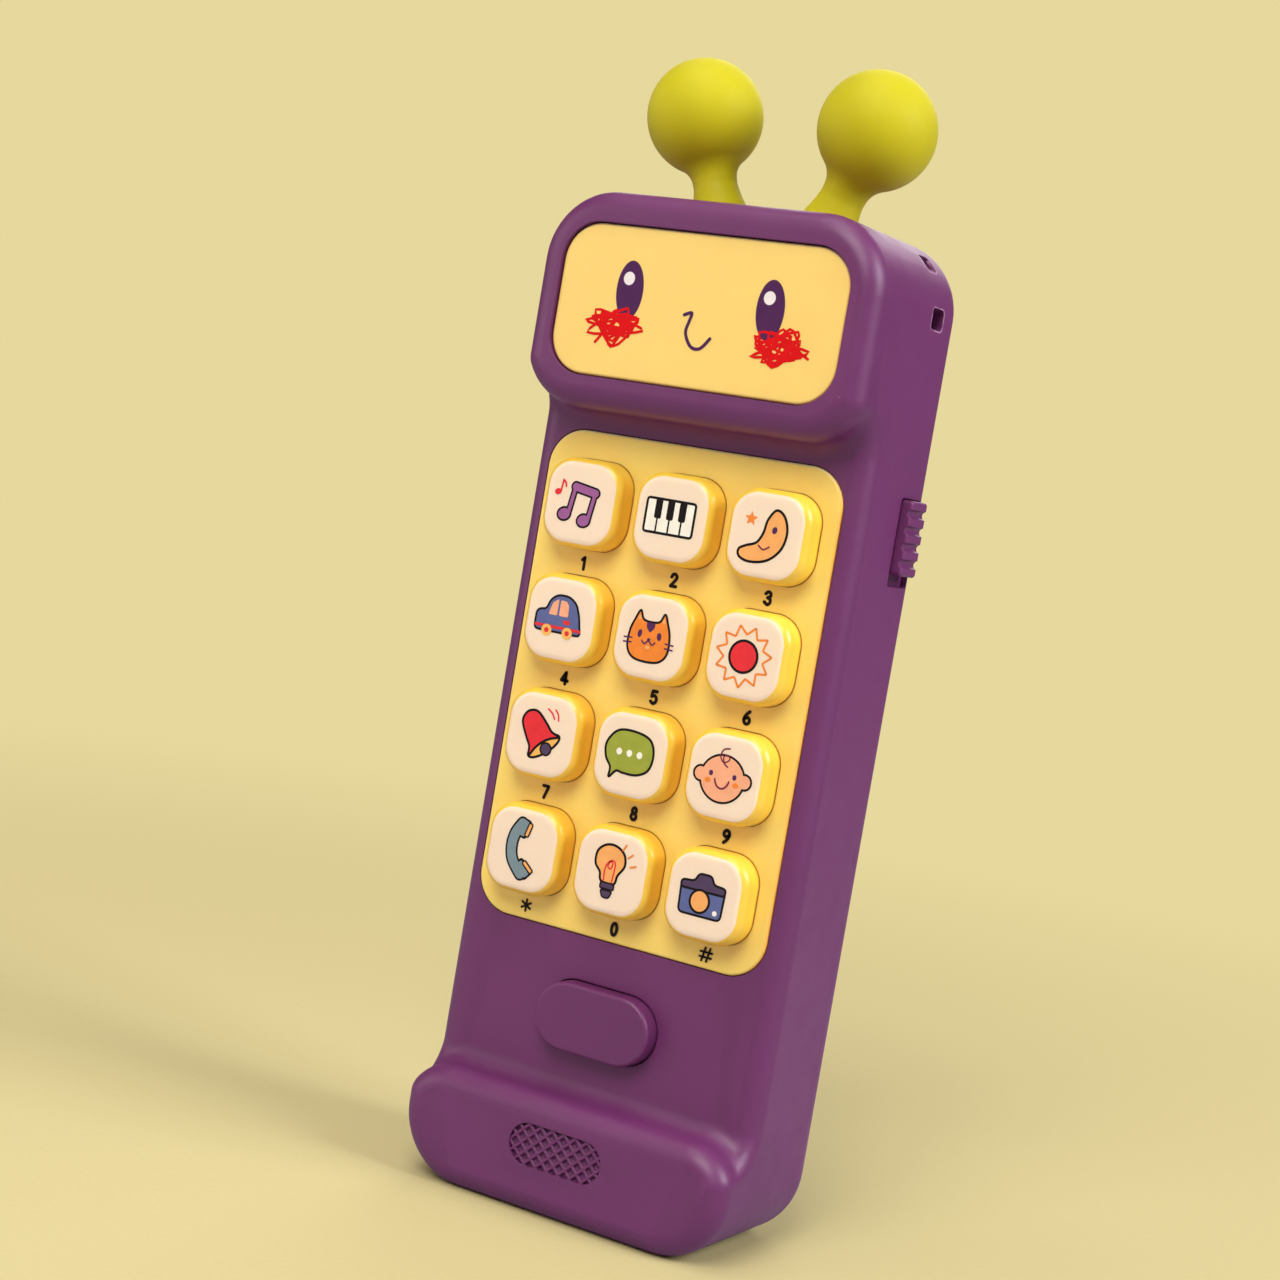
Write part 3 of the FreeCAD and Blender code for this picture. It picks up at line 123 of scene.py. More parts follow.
# ------------------------------------------------------------ shader nodes
class Shader:
    """Small helper that builds one procedural material."""

    def __init__(self, name):
        self.material = bpy.data.materials.new(name)
        self.material.use_nodes = True
        self.tree = self.material.node_tree
        self.tree.nodes.clear()
        self.out = self.tree.nodes.new("ShaderNodeOutputMaterial")
        self.surface = self.tree.nodes.new("ShaderNodeBsdfPrincipled")
        self.link(self.surface.outputs[0], self.out.inputs[0])
        self.place = self.tree.nodes.new("ShaderNodeTexCoord").outputs["Object"]

    def link(self, source, target):
        self.tree.links.new(source, target)

    def feed(self, target, value):
        if isinstance(value, bpy.types.NodeSocket):
            self.link(value, target)
        else:
            target.default_value = value

    def set(self, name, value):
        self.feed(self.surface.inputs[name], value)

    def math(self, operation, a, b=0.0, c=0.0, clamp=False):
        node = self.tree.nodes.new("ShaderNodeMath")
        node.operation = operation
        node.use_clamp = clamp
        for socket, value in zip(node.inputs, (a, b, c)):
            self.feed(socket, value)
        return node.outputs[0]

    def split(self, vector):
        node = self.tree.nodes.new("ShaderNodeSeparateXYZ")
        self.link(vector, node.inputs[0])
        return node.outputs

    def noise(self, scale, detail=3.0, roughness=0.5):
        node = self.tree.nodes.new("ShaderNodeTexNoise")
        self.link(self.place, node.inputs["Vector"])
        node.inputs["Scale"].default_value = scale
        node.inputs["Detail"].default_value = detail
        node.inputs["Roughness"].default_value = roughness
        return node.outputs["Fac"]

    def cells(self, scale):
        node = self.tree.nodes.new("ShaderNodeTexVoronoi")
        self.link(self.place, node.inputs["Vector"])
        node.inputs["Scale"].default_value = scale
        return node.outputs

    def spread(self, value, low, high, to_low=0.0, to_high=1.0, smooth=False):
        node = self.tree.nodes.new("ShaderNodeMapRange")
        node.interpolation_type = "SMOOTHSTEP" if smooth else "LINEAR"
        self.feed(node.inputs["Value"], value)
        for socket, number in zip(("From Min", "From Max", "To Min", "To Max"),
                                  (low, high, to_low, to_high)):
            node.inputs[socket].default_value = number
        return node.outputs["Result"]

    def mix(self, factor, first, second):
        node = self.tree.nodes.new("ShaderNodeMix")
        node.data_type = "RGBA"
        self.feed(node.inputs[0], factor)
        self.feed(node.inputs[6], first)
        self.feed(node.inputs[7], second)
        return node.outputs[2]

    def bump(self, height, distance, over=None):
        node = self.tree.nodes.new("ShaderNodeBump")
        if over:
            self.link(over, node.inputs["Normal"])
        node.inputs["Distance"].default_value = distance
        self.link(height, node.inputs["Height"])
        return node.outputs["Normal"]

    def geometry(self, name):
        return self.tree.nodes.new("ShaderNodeNewGeometry").outputs[name]

    def base_colour(self):
        """Whatever already feeds the surface's base colour."""
        return self.surface.inputs["Base Color"].links[0].from_socket

    def softened(self, radius):
        """Normal that turns sharp edges over a small radius."""
        node = self.tree.nodes.new("ShaderNodeBevel")
        node.samples = 4
        node.inputs["Radius"].default_value = radius
        return node.outputs["Normal"]

    def from_rounded_box(self, u, v, half_u, half_v, radius):
        """Distance outside a rounded rectangle centred on u = v = 0; negative inside."""
        parts = []
        for value, half in ((u, half_u), (v, half_v)):
            away = self.math("SUBTRACT", self.math("ABSOLUTE", value), half - radius)
            away = self.math("MAXIMUM", away, 0.0)
            parts.append(self.math("MULTIPLY", away, away))
        length = self.math("SQRT", self.math("ADD", parts[0], parts[1]))
        return self.math("SUBTRACT", length, radius)

    def specks(self, scale, radius, share):
        """Sparse round dots: 1 inside a dot, 0 elsewhere."""
        cells = self.cells(scale)
        near = self.math("LESS_THAN", cells["Distance"], radius)
        chosen = self.math("GREATER_THAN", self.split(cells["Color"])[0], 1.0 - share)
        return self.math("MULTIPLY", near, chosen)


def moulded(name, colour, roughness, grain=0.012 * MM, dust=0.0, edge=0.0, sheen=0.0,
            coat=0.0, scatter=0.0, soften=0.0):
    """Injection-moulded plastic: faint mottling, fine spark-eroded grain, optional dust, optional
    painted highlight on convex edges.
    """
    s = Shader(name)
    cloud = s.noise(60.0, 4.0, 0.6)
    tint = s.mix(s.spread(cloud, 0.3, 0.7), shade(colour, 0.95), shade(colour, 1.05))
    if edge:
        # Painted highlight: convex edges are lightened, up to 1.5 times the colour.
        painted_edge_highlight = s.spread(s.geometry("Pointiness"), 0.50, 0.56, 0.0, edge)
        tint = s.mix(painted_edge_highlight, tint, shade(colour, 1.5))
    rough = s.spread(s.noise(220.0, 3.0), 0.3, 0.7, roughness - 0.04, roughness + 0.04)
    if dust:
        dots = s.specks(150.0, 0.022, dust)
        tint = s.mix(s.math("MULTIPLY", dots, 0.75), tint, LINT)
    s.set("Base Color", tint)
    s.set("Roughness", rough)
    s.set("Normal", s.bump(s.noise(5200.0, 2.0), grain,
                           over=s.softened(soften) if soften else None))
    if sheen:
        s.set("Sheen Weight", sheen)
        s.set("Sheen Roughness", 0.45)
        s.set("Sheen Tint", shade(colour, 2.0))
    if coat:
        s.set("Coat Weight", coat)
        s.set("Coat Roughness", 0.22)
    if scatter:
        s.set("Subsurface Weight", scatter)
        s.set("Subsurface Radius", (1.0, 0.55, 0.2))
        s.set("Subsurface Scale", 1.2 * MM)
    return s


CREAM_HALF_WIDTH, CREAM_HALF_HEIGHT, CREAM_CORNER = 5.9 * MM, 6.15 * MM, 3.9 * MM
CREAM_DEPTH = 1.6 * MM                  # how far behind a key's front the cream may reach


def key_plastic():
    """Yellow key with a cream print over its rounded-square top and painted shade at its base."""
    s = moulded("key_plastic", KEY_YELLOW, 0.34, grain=0.004 * MM, coat=0.25, scatter=0.25)
    x, y, z = s.split(s.place)
    half_x, half_z = KEY_PITCH_X / 2, KEY_PITCH_Z / 2
    across = s.math("WRAP", x, half_x, -half_x)
    above = s.math("SUBTRACT", z, middle("keypad_plate").z + half_z)
    along = s.math("WRAP", above, half_z, -half_z)
    away = s.from_rounded_box(across, along, CREAM_HALF_WIDTH, CREAM_HALF_HEIGHT, CREAM_CORNER)
    wobble = s.spread(s.noise(1800.0), 0.0, 1.0, -0.03 * MM, 0.03 * MM)
    print_area = s.spread(s.math("ADD", away, wobble), 0.06 * MM, -0.06 * MM)
    facing = s.math("LESS_THAN", y, KEY_FRONT + CREAM_DEPTH)
    cover = s.math("MULTIPLY", print_area, facing)
    plain = s.base_colour()
    # Painted shade: the sides turn darker orange towards the plate, at each key's base.
    root_shade = s.spread(y, PLATE_FRONT - 0.5 * MM, PLATE_FRONT, 0.0, 0.75, smooth=True)
    sides = s.mix(root_shade, plain, PAINTED_ROOT_SHADE_ORANGE)
    cream = s.mix(s.spread(s.noise(90.0), 0.3, 0.7), shade(CREAM, 0.97), CREAM)
    s.set("Base Color", s.mix(cover, sides, cream))
    return s.material


def sheet_plastic(name, colour, roughness, coat, scatter):
    """Yellow sheet whose turned-over edge has a painted highlight on top and painted orange shade on
    the right.
    """
    s = moulded(name, colour, roughness, grain=0.004 * MM, dust=0.02, coat=coat, scatter=scatter)
    across, _, up = s.split(s.geometry("Normal"))
    plain = s.base_colour()
    # Painted highlight on upward-facing edges, painted orange shade on right-facing edges.
    pale = s.mix(s.spread(up, 0.15, 0.8, 0.0, 0.8), plain, PAINTED_HIGHLIGHT_PALE)
    s.set("Base Color", s.mix(s.spread(across, 0.15, 0.8, 0.0, 0.7), pale, PAINTED_SHADE_ORANGE))
    return s.material


# The cord slots: one on the upper right corner's slant, one level on the side below it.
CORNER_RADIUS = 11.0 * MM
CORD_Y, CORD_SIDE_Z, CORD_ANGLE = 2.4 * MM, 142.6 * MM, 45.0
SLANT_HALF_SIZE, LEVEL_HALF_SIZE = (1.8 * MM, 1.4 * MM), (2.1 * MM, 1.6 * MM)
CORD_CORNER = 0.7 * MM
FLASH_REACH, FLASH_FADE = 0.08 * MM, 0.16 * MM


def cord_flash(s):
    """Patchy line round each cord slot, 1 on the line; only on the casing's outer skin."""
    x, y, z = s.split(s.place)
    across = s.math("SUBTRACT", y, CORD_Y)
    corner_x, corner_z = SHELL_HIGH.x - CORNER_RADIUS, BODY_TOP - CORNER_RADIUS
    lean = math.radians(CORD_ANGLE)
    rise = s.math("SUBTRACT", z, corner_z + CORNER_RADIUS * math.sin(lean))
    run = s.math("SUBTRACT", x, corner_x + CORNER_RADIUS * math.cos(lean))
    slant = s.math("SUBTRACT", s.math("MULTIPLY", rise, math.cos(lean)),
                   s.math("MULTIPLY", run, math.sin(lean)))
    level = s.math("SUBTRACT", z, CORD_SIDE_Z)
    from_corner_x = s.math("MAXIMUM", s.math("SUBTRACT", x, corner_x), 0.0)
    from_corner_z = s.math("MAXIMUM", s.math("SUBTRACT", z, corner_z), 0.0)
    reach = s.math("SQRT", s.math("ADD", s.math("MULTIPLY", from_corner_x, from_corner_x),
                                  s.math("MULTIPLY", from_corner_z, from_corner_z)))
    skin = s.math("GREATER_THAN", reach, CORNER_RADIUS - FLASH_REACH)
    flash = 0.0
    for along, (half_y, half_z) in ((slant, SLANT_HALF_SIZE), (level, LEVEL_HALF_SIZE)):
        away = s.from_rounded_box(across, along, half_y, half_z, CORD_CORNER)
        off_line = s.math("ABSOLUTE", s.math("SUBTRACT", away, FLASH_REACH))
        ring = s.math("SUBTRACT", 1.0, s.math("MULTIPLY", off_line, 1 / FLASH_FADE), clamp=True)
        flash = s.math("MAXIMUM", flash, ring)
    patchy = s.spread(s.noise(700.0, 2.0), 0.35, 0.6, 0.15, 0.85)
    return s.math("MULTIPLY", s.math("MULTIPLY", flash, patchy), skin)


def casing_plastic():
    """Satin purple moulding with a pale flash line round each cord slot."""
    # edge=0.3 paints a highlight on the casing's convex edges.
    s = moulded("casing_plastic", PURPLE, 0.44, grain=0.010 * MM, dust=0.08, edge=0.3,
                sheen=0.05, soften=0.25 * MM)
    s.set("Base Color", s.mix(cord_flash(s), s.base_colour(), FLASH_PINK))
    return s.material


def silicone(name, colour):
    """Soft matte rubber with a powdery sheen and a few dark flecks."""
    s = Shader(name)
    cloud = s.noise(35.0, 4.0, 0.6)
    tint = s.mix(s.spread(cloud, 0.3, 0.7), shade(colour, 0.93), shade(colour, 1.06))
    flecks = s.specks(110.0, 0.02, 0.25)
    s.set("Base Color", s.mix(s.math("MULTIPLY", flecks, 0.5), tint, shade(colour, 0.45)))
    s.set("Roughness", s.spread(s.noise(300.0), 0.3, 0.7, 0.56, 0.66))
    s.set("Specular IOR Level", 0.25)
    s.set("Sheen Weight", 0.06)
    s.set("Sheen Roughness", 0.5)
    s.set("Subsurface Weight", 0.2)
    s.set("Subsurface Radius", (1.0, 0.9, 0.2))
    s.set("Subsurface Scale", 1.5 * MM)
    s.set("Normal", s.bump(s.noise(2600.0, 3.0), 0.012 * MM))
    return s.material


def metal(name, colour, roughness):
    """Plated metal with fine streaks that vary its gloss."""
    s = Shader(name)
    streaks = s.noise(900.0, 4.0, 0.7)
    s.set("Base Color", s.mix(s.spread(s.noise(150.0), 0.3, 0.7), shade(colour, 0.82), colour))
    s.set("Metallic", 1.0)
    s.set("Roughness", s.spread(streaks, 0.3, 0.7, roughness - 0.06, roughness + 0.1))
    s.set("Normal", s.bump(streaks, 0.003 * MM))
    return s.material


def ink(name, colour):
    """Pad-printed ink: slightly uneven density and a faint raised texture."""
    s = Shader(name)
    density = s.spread(s.noise(700.0, 3.0), 0.25, 0.75)
    s.set("Base Color", s.mix(density, shade(colour, 0.92), shade(colour, 1.06)))
    s.set("Roughness", s.spread(s.noise(1500.0), 0.3, 0.7, 0.50, 0.60))
    s.set("Specular IOR Level", 0.15)
    s.set("Normal", s.bump(s.noise(6000.0), 0.002 * MM))
    return s.material


UPRIGHT_TRACK_PITCH, LEVEL_TRACK_PITCH = 1.9 * MM, 2.7 * MM


def circuit_board():
    """Green solder mask over faint copper tracks."""
    s = Shader("solder_mask")
    x, _, z = s.split(s.place)
    lanes = s.math("SINE", s.math("MULTIPLY", x, 2 * math.pi / UPRIGHT_TRACK_PITCH))
    cross = s.math("SINE", s.math("MULTIPLY", z, 2 * math.pi / LEVEL_TRACK_PITCH))
    regions = s.math("GREATER_THAN", s.noise(140.0, 0.0), 0.5)
    wave = s.math("ADD", s.math("MULTIPLY", lanes, regions),
                  s.math("MULTIPLY", cross, s.math("SUBTRACT", 1.0, regions)))
    track = s.spread(wave, 0.55, 0.75)
    s.set("Base Color", s.mix(track, srgb(18, 92, 48), srgb(52, 140, 74)))
    s.set("Roughness", 0.32)
    s.set("Normal", s.bump(track, 0.03 * MM))
    return s.material


CELL_BAND, SLEEVE_HALF_LENGTH = 13.0 * MM, 21.2 * MM


def cell_jacket():
    """Printed battery sleeve: dark body with an orange band near one end, bare metal ends."""
    s = Shader("cell_jacket")
    _, _, z = s.split(s.place)
    band = s.math("GREATER_THAN", z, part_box("battery_2")[1].z - CELL_BAND)
    sleeve_colour = s.mix(band, srgb(48, 50, 58), srgb(214, 150, 60))
    from_middle = s.math("ABSOLUTE", s.math("SUBTRACT", z, middle("battery_2").z))
    sleeve = s.math("LESS_THAN", from_middle, SLEEVE_HALF_LENGTH)
    s.set("Base Color", s.mix(sleeve, srgb(186, 188, 190), sleeve_colour))
    s.set("Metallic", s.math("SUBTRACT", 1.0, s.math("MULTIPLY", sleeve, 0.55)))
    s.set("Roughness", s.spread(s.noise(400.0), 0.3, 0.7, 0.26, 0.36))
    return s.material


def clear_lamp():
    """Clear plastic bead of a lamp."""
    s = Shader("clear_lamp")
    s.set("Base Color", s.mix(s.spread(s.noise(500.0), 0.3, 0.7), srgb(250, 246, 232),
                              srgb(236, 232, 214)))
    s.set("Transmission Weight", 0.8)
    s.set("Roughness", 0.12)
    s.set("IOR", 1.5)
    return s.material


MATERIALS = {
    "casing": casing_plastic(),
    "panel": sheet_plastic("panel_plastic", PANEL_YELLOW, 0.42, 0.35, 0.12),
    "plate": sheet_plastic("plate_plastic", PLATE_YELLOW, 0.36, 0.10, 0.25),
    "key": key_plastic(),
    "lime": silicone("lime_silicone_rubber", LIME),
    "mat": silicone("grey_silicone_rubber", srgb(120, 122, 126)),
    "steel": metal("zinc_plated_steel", srgb(196, 196, 198), 0.28),
    "ferrite": moulded("sintered_ferrite", srgb(46, 46, 50), 0.6, grain=0.03 * MM).material,
    "black": moulded("black_resin_body", srgb(24, 24, 26), 0.38).material,
    "film": moulded("speaker_film", srgb(38, 38, 44), 0.5).material,
    "board": circuit_board(),
    "cell": cell_jacket(),
    "lamp": clear_lamp(),
    "red_wire": moulded("red_insulation", srgb(190, 24, 20), 0.45).material,
    "black_wire": moulded("black_insulation", srgb(26, 26, 28), 0.45).material,
}

FINISHES = {
    "casing": ("front_shell", "rear_cover", "battery_door", "call_button", "switch_knob"),
    "panel": ("face_panel",),
    "plate": ("keypad_plate",),
    "key": KEYS,
    "lime": ("antenna_left", "antenna_right"),
    "mat": ("key_mat", "call_dome"),
    "steel": ("case_screws", "board_screws", "battery_door_screw", "speaker_screws",
              "speaker_frame", "slide_switch_case", "battery_springs", "battery_contacts"),
    "ferrite": ("speaker_magnet",),
    "black": ("controller_chip", "capacitors", "slide_switch_lever"),
    "film": ("speaker_cone",),
    "board": ("main_board", "switch_board"),
    "cell": ("battery_1", "battery_2", "battery_3"),
    "lamp": ("face_lamps",),
    "red_wire": ("battery_wires",),
    "black_wire": ("speaker_wires", "switch_wires"),
}


def finish_nodes():
    for finish, names in FINISHES.items():
        for name in names:
            for slot in NODES[name].material_slots:
                slot.material = MATERIALS[finish]


# ------------------------------------------------------------ printed shapes
INKS = {name: ink("ink_" + name, srgb(*rgb)) for name, rgb in INK_COLOURS.items()}
INK_THICK = 0.020 * MM      # thickness of one printed shape
INK_STEP = 0.005 * MM       # each shape lies this far in front of the one before
PEN = 0.40                  # usual outline width, in millimetres


def oval(x, y, across, up=None, turn=0.0, start=0.0, end=360.0):
    """Points of an oval, or of part of one when start and end are given."""
    up = across if up is None else up
    steps = max(8, int(abs(end - start) / 10))
    count = steps if abs(end - start) >= 360 else steps + 1
    lean = math.radians(turn)
    points = []
    for index in range(count):
        angle = math.radians(start + (end - start) * index / steps)
        a, b = across * math.cos(angle), up * math.sin(angle)
        points.append((x + a * math.cos(lean) - b * math.sin(lean),
                       y + a * math.sin(lean) + b * math.cos(lean)))
    return points


def curve(points, closed=True, steps=6):
    """Smooth curve through given points."""
    count = len(points)
    spans = count if closed else count - 1
    result = []
    for span in range(spans):
        knots = []
        for shift in (-1, 0, 1, 2):
            index = span + shift
            knots.append(points[index % count if closed else min(max(index, 0), count - 1)])
        for step in range(steps):
            t = step / steps
            weights = (-0.5 * t + t * t - 0.5 * t ** 3, 1 - 2.5 * t * t + 1.5 * t ** 3,
                       0.5 * t + 2 * t * t - 1.5 * t ** 3, -0.5 * t * t + 0.5 * t ** 3)
            result.append(tuple(sum(w * knot[axis] for w, knot in zip(weights, knots))
                                for axis in (0, 1)))
    if not closed:
        result.append(points[-1])
    return result


def rounded(points, radius, closed=True):
    """Straight-sided shape whose corners are turned over a short distance."""
    steps = 4
    result = []
    count = len(points)
    for index, corner in enumerate(points):
        if not closed and index in (0, count - 1):
            result.append(corner)
            continue
        corner = Vector(corner)
        sides = []
        for other in (points[index - 1], points[(index + 1) % count]):
            side = Vector(other) - corner
            sides.append(corner + side.normalized() * min(radius, side.length * 0.48))
        for step in range(steps + 1):
            t = step / steps
            spot = sides[0] * (1 - t) ** 2 + corner * 2 * t * (1 - t) + sides[1] * t * t
            result.append((spot.x, spot.y))
    return result


def box_points(x, y, across, up):
    """Corners of a rectangle centred on x, y."""
    return [(x - across / 2, y - up / 2), (x + across / 2, y - up / 2),
            (x + across / 2, y + up / 2), (x - across / 2, y + up / 2)]


def turned_about(points, degrees, x=0.0, y=0.0):
    """Points turned about the origin, then moved to x, y."""
    c, s = math.cos(math.radians(degrees)), math.sin(math.radians(degrees))
    return [(x + a * c - b * s, y + a * s + b * c) for a, b in points]


class Print:
    """Ink shapes on a flat front face, drawn in millimetres about a centre."""

    def __init__(self, name, x, y, z, body, slot, scale=1.0):
        self.name, self.body, self.slot = name, body, slot
        self.unit = scale * MM
        self.centre = Vector((x, y, z))
        self.mesh = bmesh.new()
        self.inks = []
        self.depth = INK_THICK

    def face(self, points, colour, lift=0.0):
        if colour not in self.inks:
            self.inks.append(colour)
        depth = self.depth + lift
        verts = [self.mesh.verts.new(self.centre + Vector((x * self.unit, -depth, z * self.unit)))
                 for x, z in points]
        face = self.mesh.faces.new(verts)
        face.normal_update()
        if face.normal.y > 0:
            face.normal_flip()
        face.material_index = self.inks.index(colour)

    def fill(self, points, colour):
        self.face(points, colour)
        self.depth += INK_STEP

    def line(self, points, colour="black", width=PEN, closed=False, climb=0.0):
        """Band of constant width along a path, with round ends.

        A path that crosses itself climbs a little, so that no two parts coincide.
        """
        count = len(points)
        left, right = [], []
        for index, (x, y) in enumerate(points):
            before = points[index - 1] if closed or index else points[0]
            after = points[(index + 1) % count] if closed or index < count - 1 else points[-1]
            way = Vector((after[0] - before[0], after[1] - before[1])).normalized()
            left.append((x - way.y * width / 2, y + way.x * width / 2))
            right.append((x + way.y * width / 2, y - way.x * width / 2))
        for index in range(count if closed else count - 1):
            nxt = (index + 1) % count
            self.face([right[index], right[nxt], left[nxt], left[index]], colour,
                      climb * index / count)
        if not closed:
            for (x, y), side, lift in ((points[0], left[0], 0.0), (points[-1], right[-1], climb)):
                lean = math.degrees(math.atan2(side[1] - y, side[0] - x))
                self.face(oval(x, y, width / 2, turn=lean, start=0, end=180), colour, lift)
        self.depth += INK_STEP

    def drawn(self, points, colour, width=PEN):
        """Filled shape with a black outline."""
        self.fill(points, colour)
        self.line(points, "black", width, closed=True)

    def finish(self):
        data = bpy.data.meshes.new(self.name)
        self.mesh.to_mesh(data)
        self.mesh.free()
        for colour in self.inks:
            data.materials.append(INKS[colour])
        piece = bpy.data.objects.new(self.name, data)
        bpy.context.scene.collection.objects.link(piece)
        solid = piece.modifiers.new("thickness", "SOLIDIFY")
        solid.thickness = INK_THICK
        solid.offset = -1.0
        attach(piece, self.body)
        return piece


# ------------------------------------------------------------ key pictures
def music_notes(art):
    stems = (((-1.6, -2.0), (-0.9, 2.7)), ((2.2, -2.6), (2.9, 2.1)))
    heads = (oval(-2.35, -2.1, 1.1, 0.9, 15), oval(1.45, -2.7, 1.1, 0.9, 15))
    grown = (oval(-2.35, -2.1, 1.42, 1.22, 15), oval(1.45, -2.7, 1.42, 1.22, 15))
    beam = [(-0.9, 2.5), (2.9, 1.9)]
    for colour, extra, rounds in (("black", 0.62, grown), ("mauve", 0.0, heads)):
        for stem in stems:
            art.line(list(stem), colour, 0.62 + extra)
        art.line(beam, colour, 1.25 + extra)
        for head in rounds:
            art.fill(head, colour)
    art.fill(oval(-4.1, 1.3, 0.62, 0.5, 15), "red")
    art.line([(-3.6, 1.4), (-3.4, 3.3)], "red", 0.3)
    art.line(curve([(-3.4, 3.3), (-2.9, 2.9), (-2.75, 2.3)], False), "red", 0.3)


def piano_keys(art):
    art.drawn(rounded(box_points(0, 0.2, 8.8, 5.4), 0.5), "white", 0.42)
    for x in (-2.2, 0.0, 2.2):
        art.line([(x, 0.0), (x, -2.3)], "black", 0.3)
        art.fill(rounded(box_points(x, 1.4, 1.25, 3.3), 0.35), "black")


def moon(art):
    art.drawn(curve([(1.4, 4.0), (2.9, 3.2), (3.7, 0.9), (3.1, -1.7), (1.1, -3.6), (-1.7, -4.2),
                     (-3.6, -3.7), (-3.9, -2.6), (-2.8, -1.9), (-1.1, -1.2), (-0.2, 0.4),
                     (0.2, 2.4)]), "apricot")
    art.fill(oval(1.6, 1.0, 0.42, 0.55, -15), "plum")
    art.line(curve([(-0.7, -1.6), (0.2, -2.1), (1.1, -1.6)], False), "maroon", 0.26)
    star = []
    for index in range(10):
        reach = 1.15 if index % 2 == 0 else 0.5
        angle = math.radians(90 + 36 * index)
        star.append((-2.6 + reach * math.cos(angle), 2.2 + reach * math.sin(angle)))
    art.fill(rounded(star, 0.12), "orange")


def car(art):
    body = rounded([(-4.6, -2.3), (-4.6, 0.7), (-3.9, 1.2), (-2.7, 1.3), (-2.2, 3.0), (-0.8, 4.0),
                    (1.4, 4.0), (3.0, 3.0), (3.9, 0.9), (4.2, -0.6), (4.6, -2.3)], 0.8)
    art.drawn(body, "slate", 0.38)
    art.fill(rounded([(-2.2, 0.5), (-1.6, 2.6), (-0.7, 3.2), (-0.5, 3.2), (-0.5, 0.5)], 0.3), "peach")
    art.fill(rounded([(-0.1, 0.5), (-0.1, 3.2), (1.1, 3.1), (1.6, 2.4), (1.7, 0.5)], 0.3), "peach")
    art.fill(rounded(box_points(1.6, -0.4, 1.3, 0.7), 0.25), "red")
    art.fill(rounded(box_points(0, -1.5, 9.2, 0.5), 0.1), "red")
    for x in (-2.1, 2.0):
        art.fill(oval(x, -2.2, 1.0), "honey")
        art.fill(oval(x, -2.2, 0.45), "red")


def cat(art):
    art.drawn(curve([(-2.4, 4.3), (-1.6, 2.9), (0.0, 2.6), (1.6, 2.9), (2.4, 4.3), (3.2, 2.7),
                     (3.9, 0.6), (3.9, -2.2), (2.6, -3.8), (0.0, -4.2), (-2.6, -3.8),
                     (-3.9, -2.2), (-3.9, 0.6), (-3.2, 2.7)]), "orange")
    for side in (-1, 1):
        art.fill(rounded([(side * 2.75, 2.7), (side * 2.4, 3.7), (side * 1.95, 2.8)], 0.25),
                 "apricot")
        art.fill(oval(side * 1.9, 0.4, 0.42, 0.68, side * 8), "plum")
        for low in (-0.55, -1.35):
            art.line([(side * 3.3, low), (side * 4.8, low - 0.1)], "plum", 0.26)
    art.fill(rounded([(-0.85, 2.5), (-0.75, 1.6), (0.0, 0.8), (0.75, 1.6), (0.85, 2.5)], 0.3),
             "plum")
    art.fill(oval(0, -0.35, 0.3, 0.22), "plum")
    art.line(curve([(-1.3, -0.7), (-0.75, -1.2), (0.0, -0.6), (0.75, -1.2), (1.3, -0.7)], False),
             "plum", 0.24)
    art.fill(oval(0, -1.75, 0.5, 0.3), "apricot")


def sun(art):
    ring = []
    for index in range(22):
        reach = 4.75 if index % 2 == 0 else 3.35
        angle = math.radians(8 + 360 / 22 * index)
        ring.append((reach * math.cos(angle), reach * math.sin(angle)))
    art.line(rounded(ring, 0.2), "orange", 0.34, closed=True)
    art.drawn(oval(0, 0, 2.35, 2.4), "red")


def bell(art):
    def tilt(points):
        return turned_about(points, 38, -0.3, 0.1)
    art.drawn(tilt(oval(0, -2.3, 3.3, 1.1)), "honey")
    art.drawn(tilt(oval(0.1, -2.9, 1.0)), "shadow", 0.28)
    art.drawn(tilt(curve([(-0.6, 3.9), (0.6, 3.9), (1.7, 3.0), (2.2, 0.6), (2.4, -1.0),
                          (3.2, -2.3), (1.6, -1.8), (0.0, -1.6), (-1.6, -1.8), (-3.2, -2.3),
                          (-2.4, -1.0), (-2.2, 0.6), (-1.7, 3.0)])), "red")
    art.line(curve([(0.9, 4.3), (1.8, 3.7), (2.3, 2.9)], False), "red", 0.26)
    art.line(curve([(2.3, 4.4), (2.9, 3.7), (3.1, 2.8)], False), "red", 0.26)


def speech_bubble(art):
    art.drawn(curve([(-2.6, 3.6), (0.6, 3.9), (3.4, 3.1), (4.4, 0.9), (3.9, -1.7), (1.9, -2.9),
                     (-0.6, -3.0), (-1.9, -2.9), (-3.1, -4.1), (-3.1, -2.5), (-4.2, -0.9),
                     (-4.4, 1.4)]), "olive")
    for x in (-1.9, 0.0, 1.9):
        art.fill(oval(x, 0.3, 0.52, 0.56), "white")


def baby(art):
    for colour, extra in (("black", 0.7), ("peach", 0.0)):
        for side in (-1, 1):
            art.fill(oval(side * 3.9, -0.1, 1.05 + extra / 2), colour)
        art.fill(oval(0, -0.3, 3.75 + extra / 2, 3.6 + extra / 2), colour)
        if colour == "black":
            art.depth += INK_STEP
    art.line(curve([(0.5, 4.6), (-0.5, 4.3), (-0.9, 3.2), (-0.2, 2.3), (0.7, 2.8), (0.5, 3.5),
                    (-0.3, 3.2), (-0.1, 2.2), (0.6, 1.7)], False), "maroon", 0.25)
    for side in (-1, 1):
        art.fill(oval(side * 2.1, 0.3, 0.36, 0.44), "plum")
        art.fill(oval(side * 2.5, -0.9, 0.55, 0.4), "orange")
    art.line(oval(0, -0.1, 1.3, 1.75, 0, 195, 345), "maroon", 0.3)


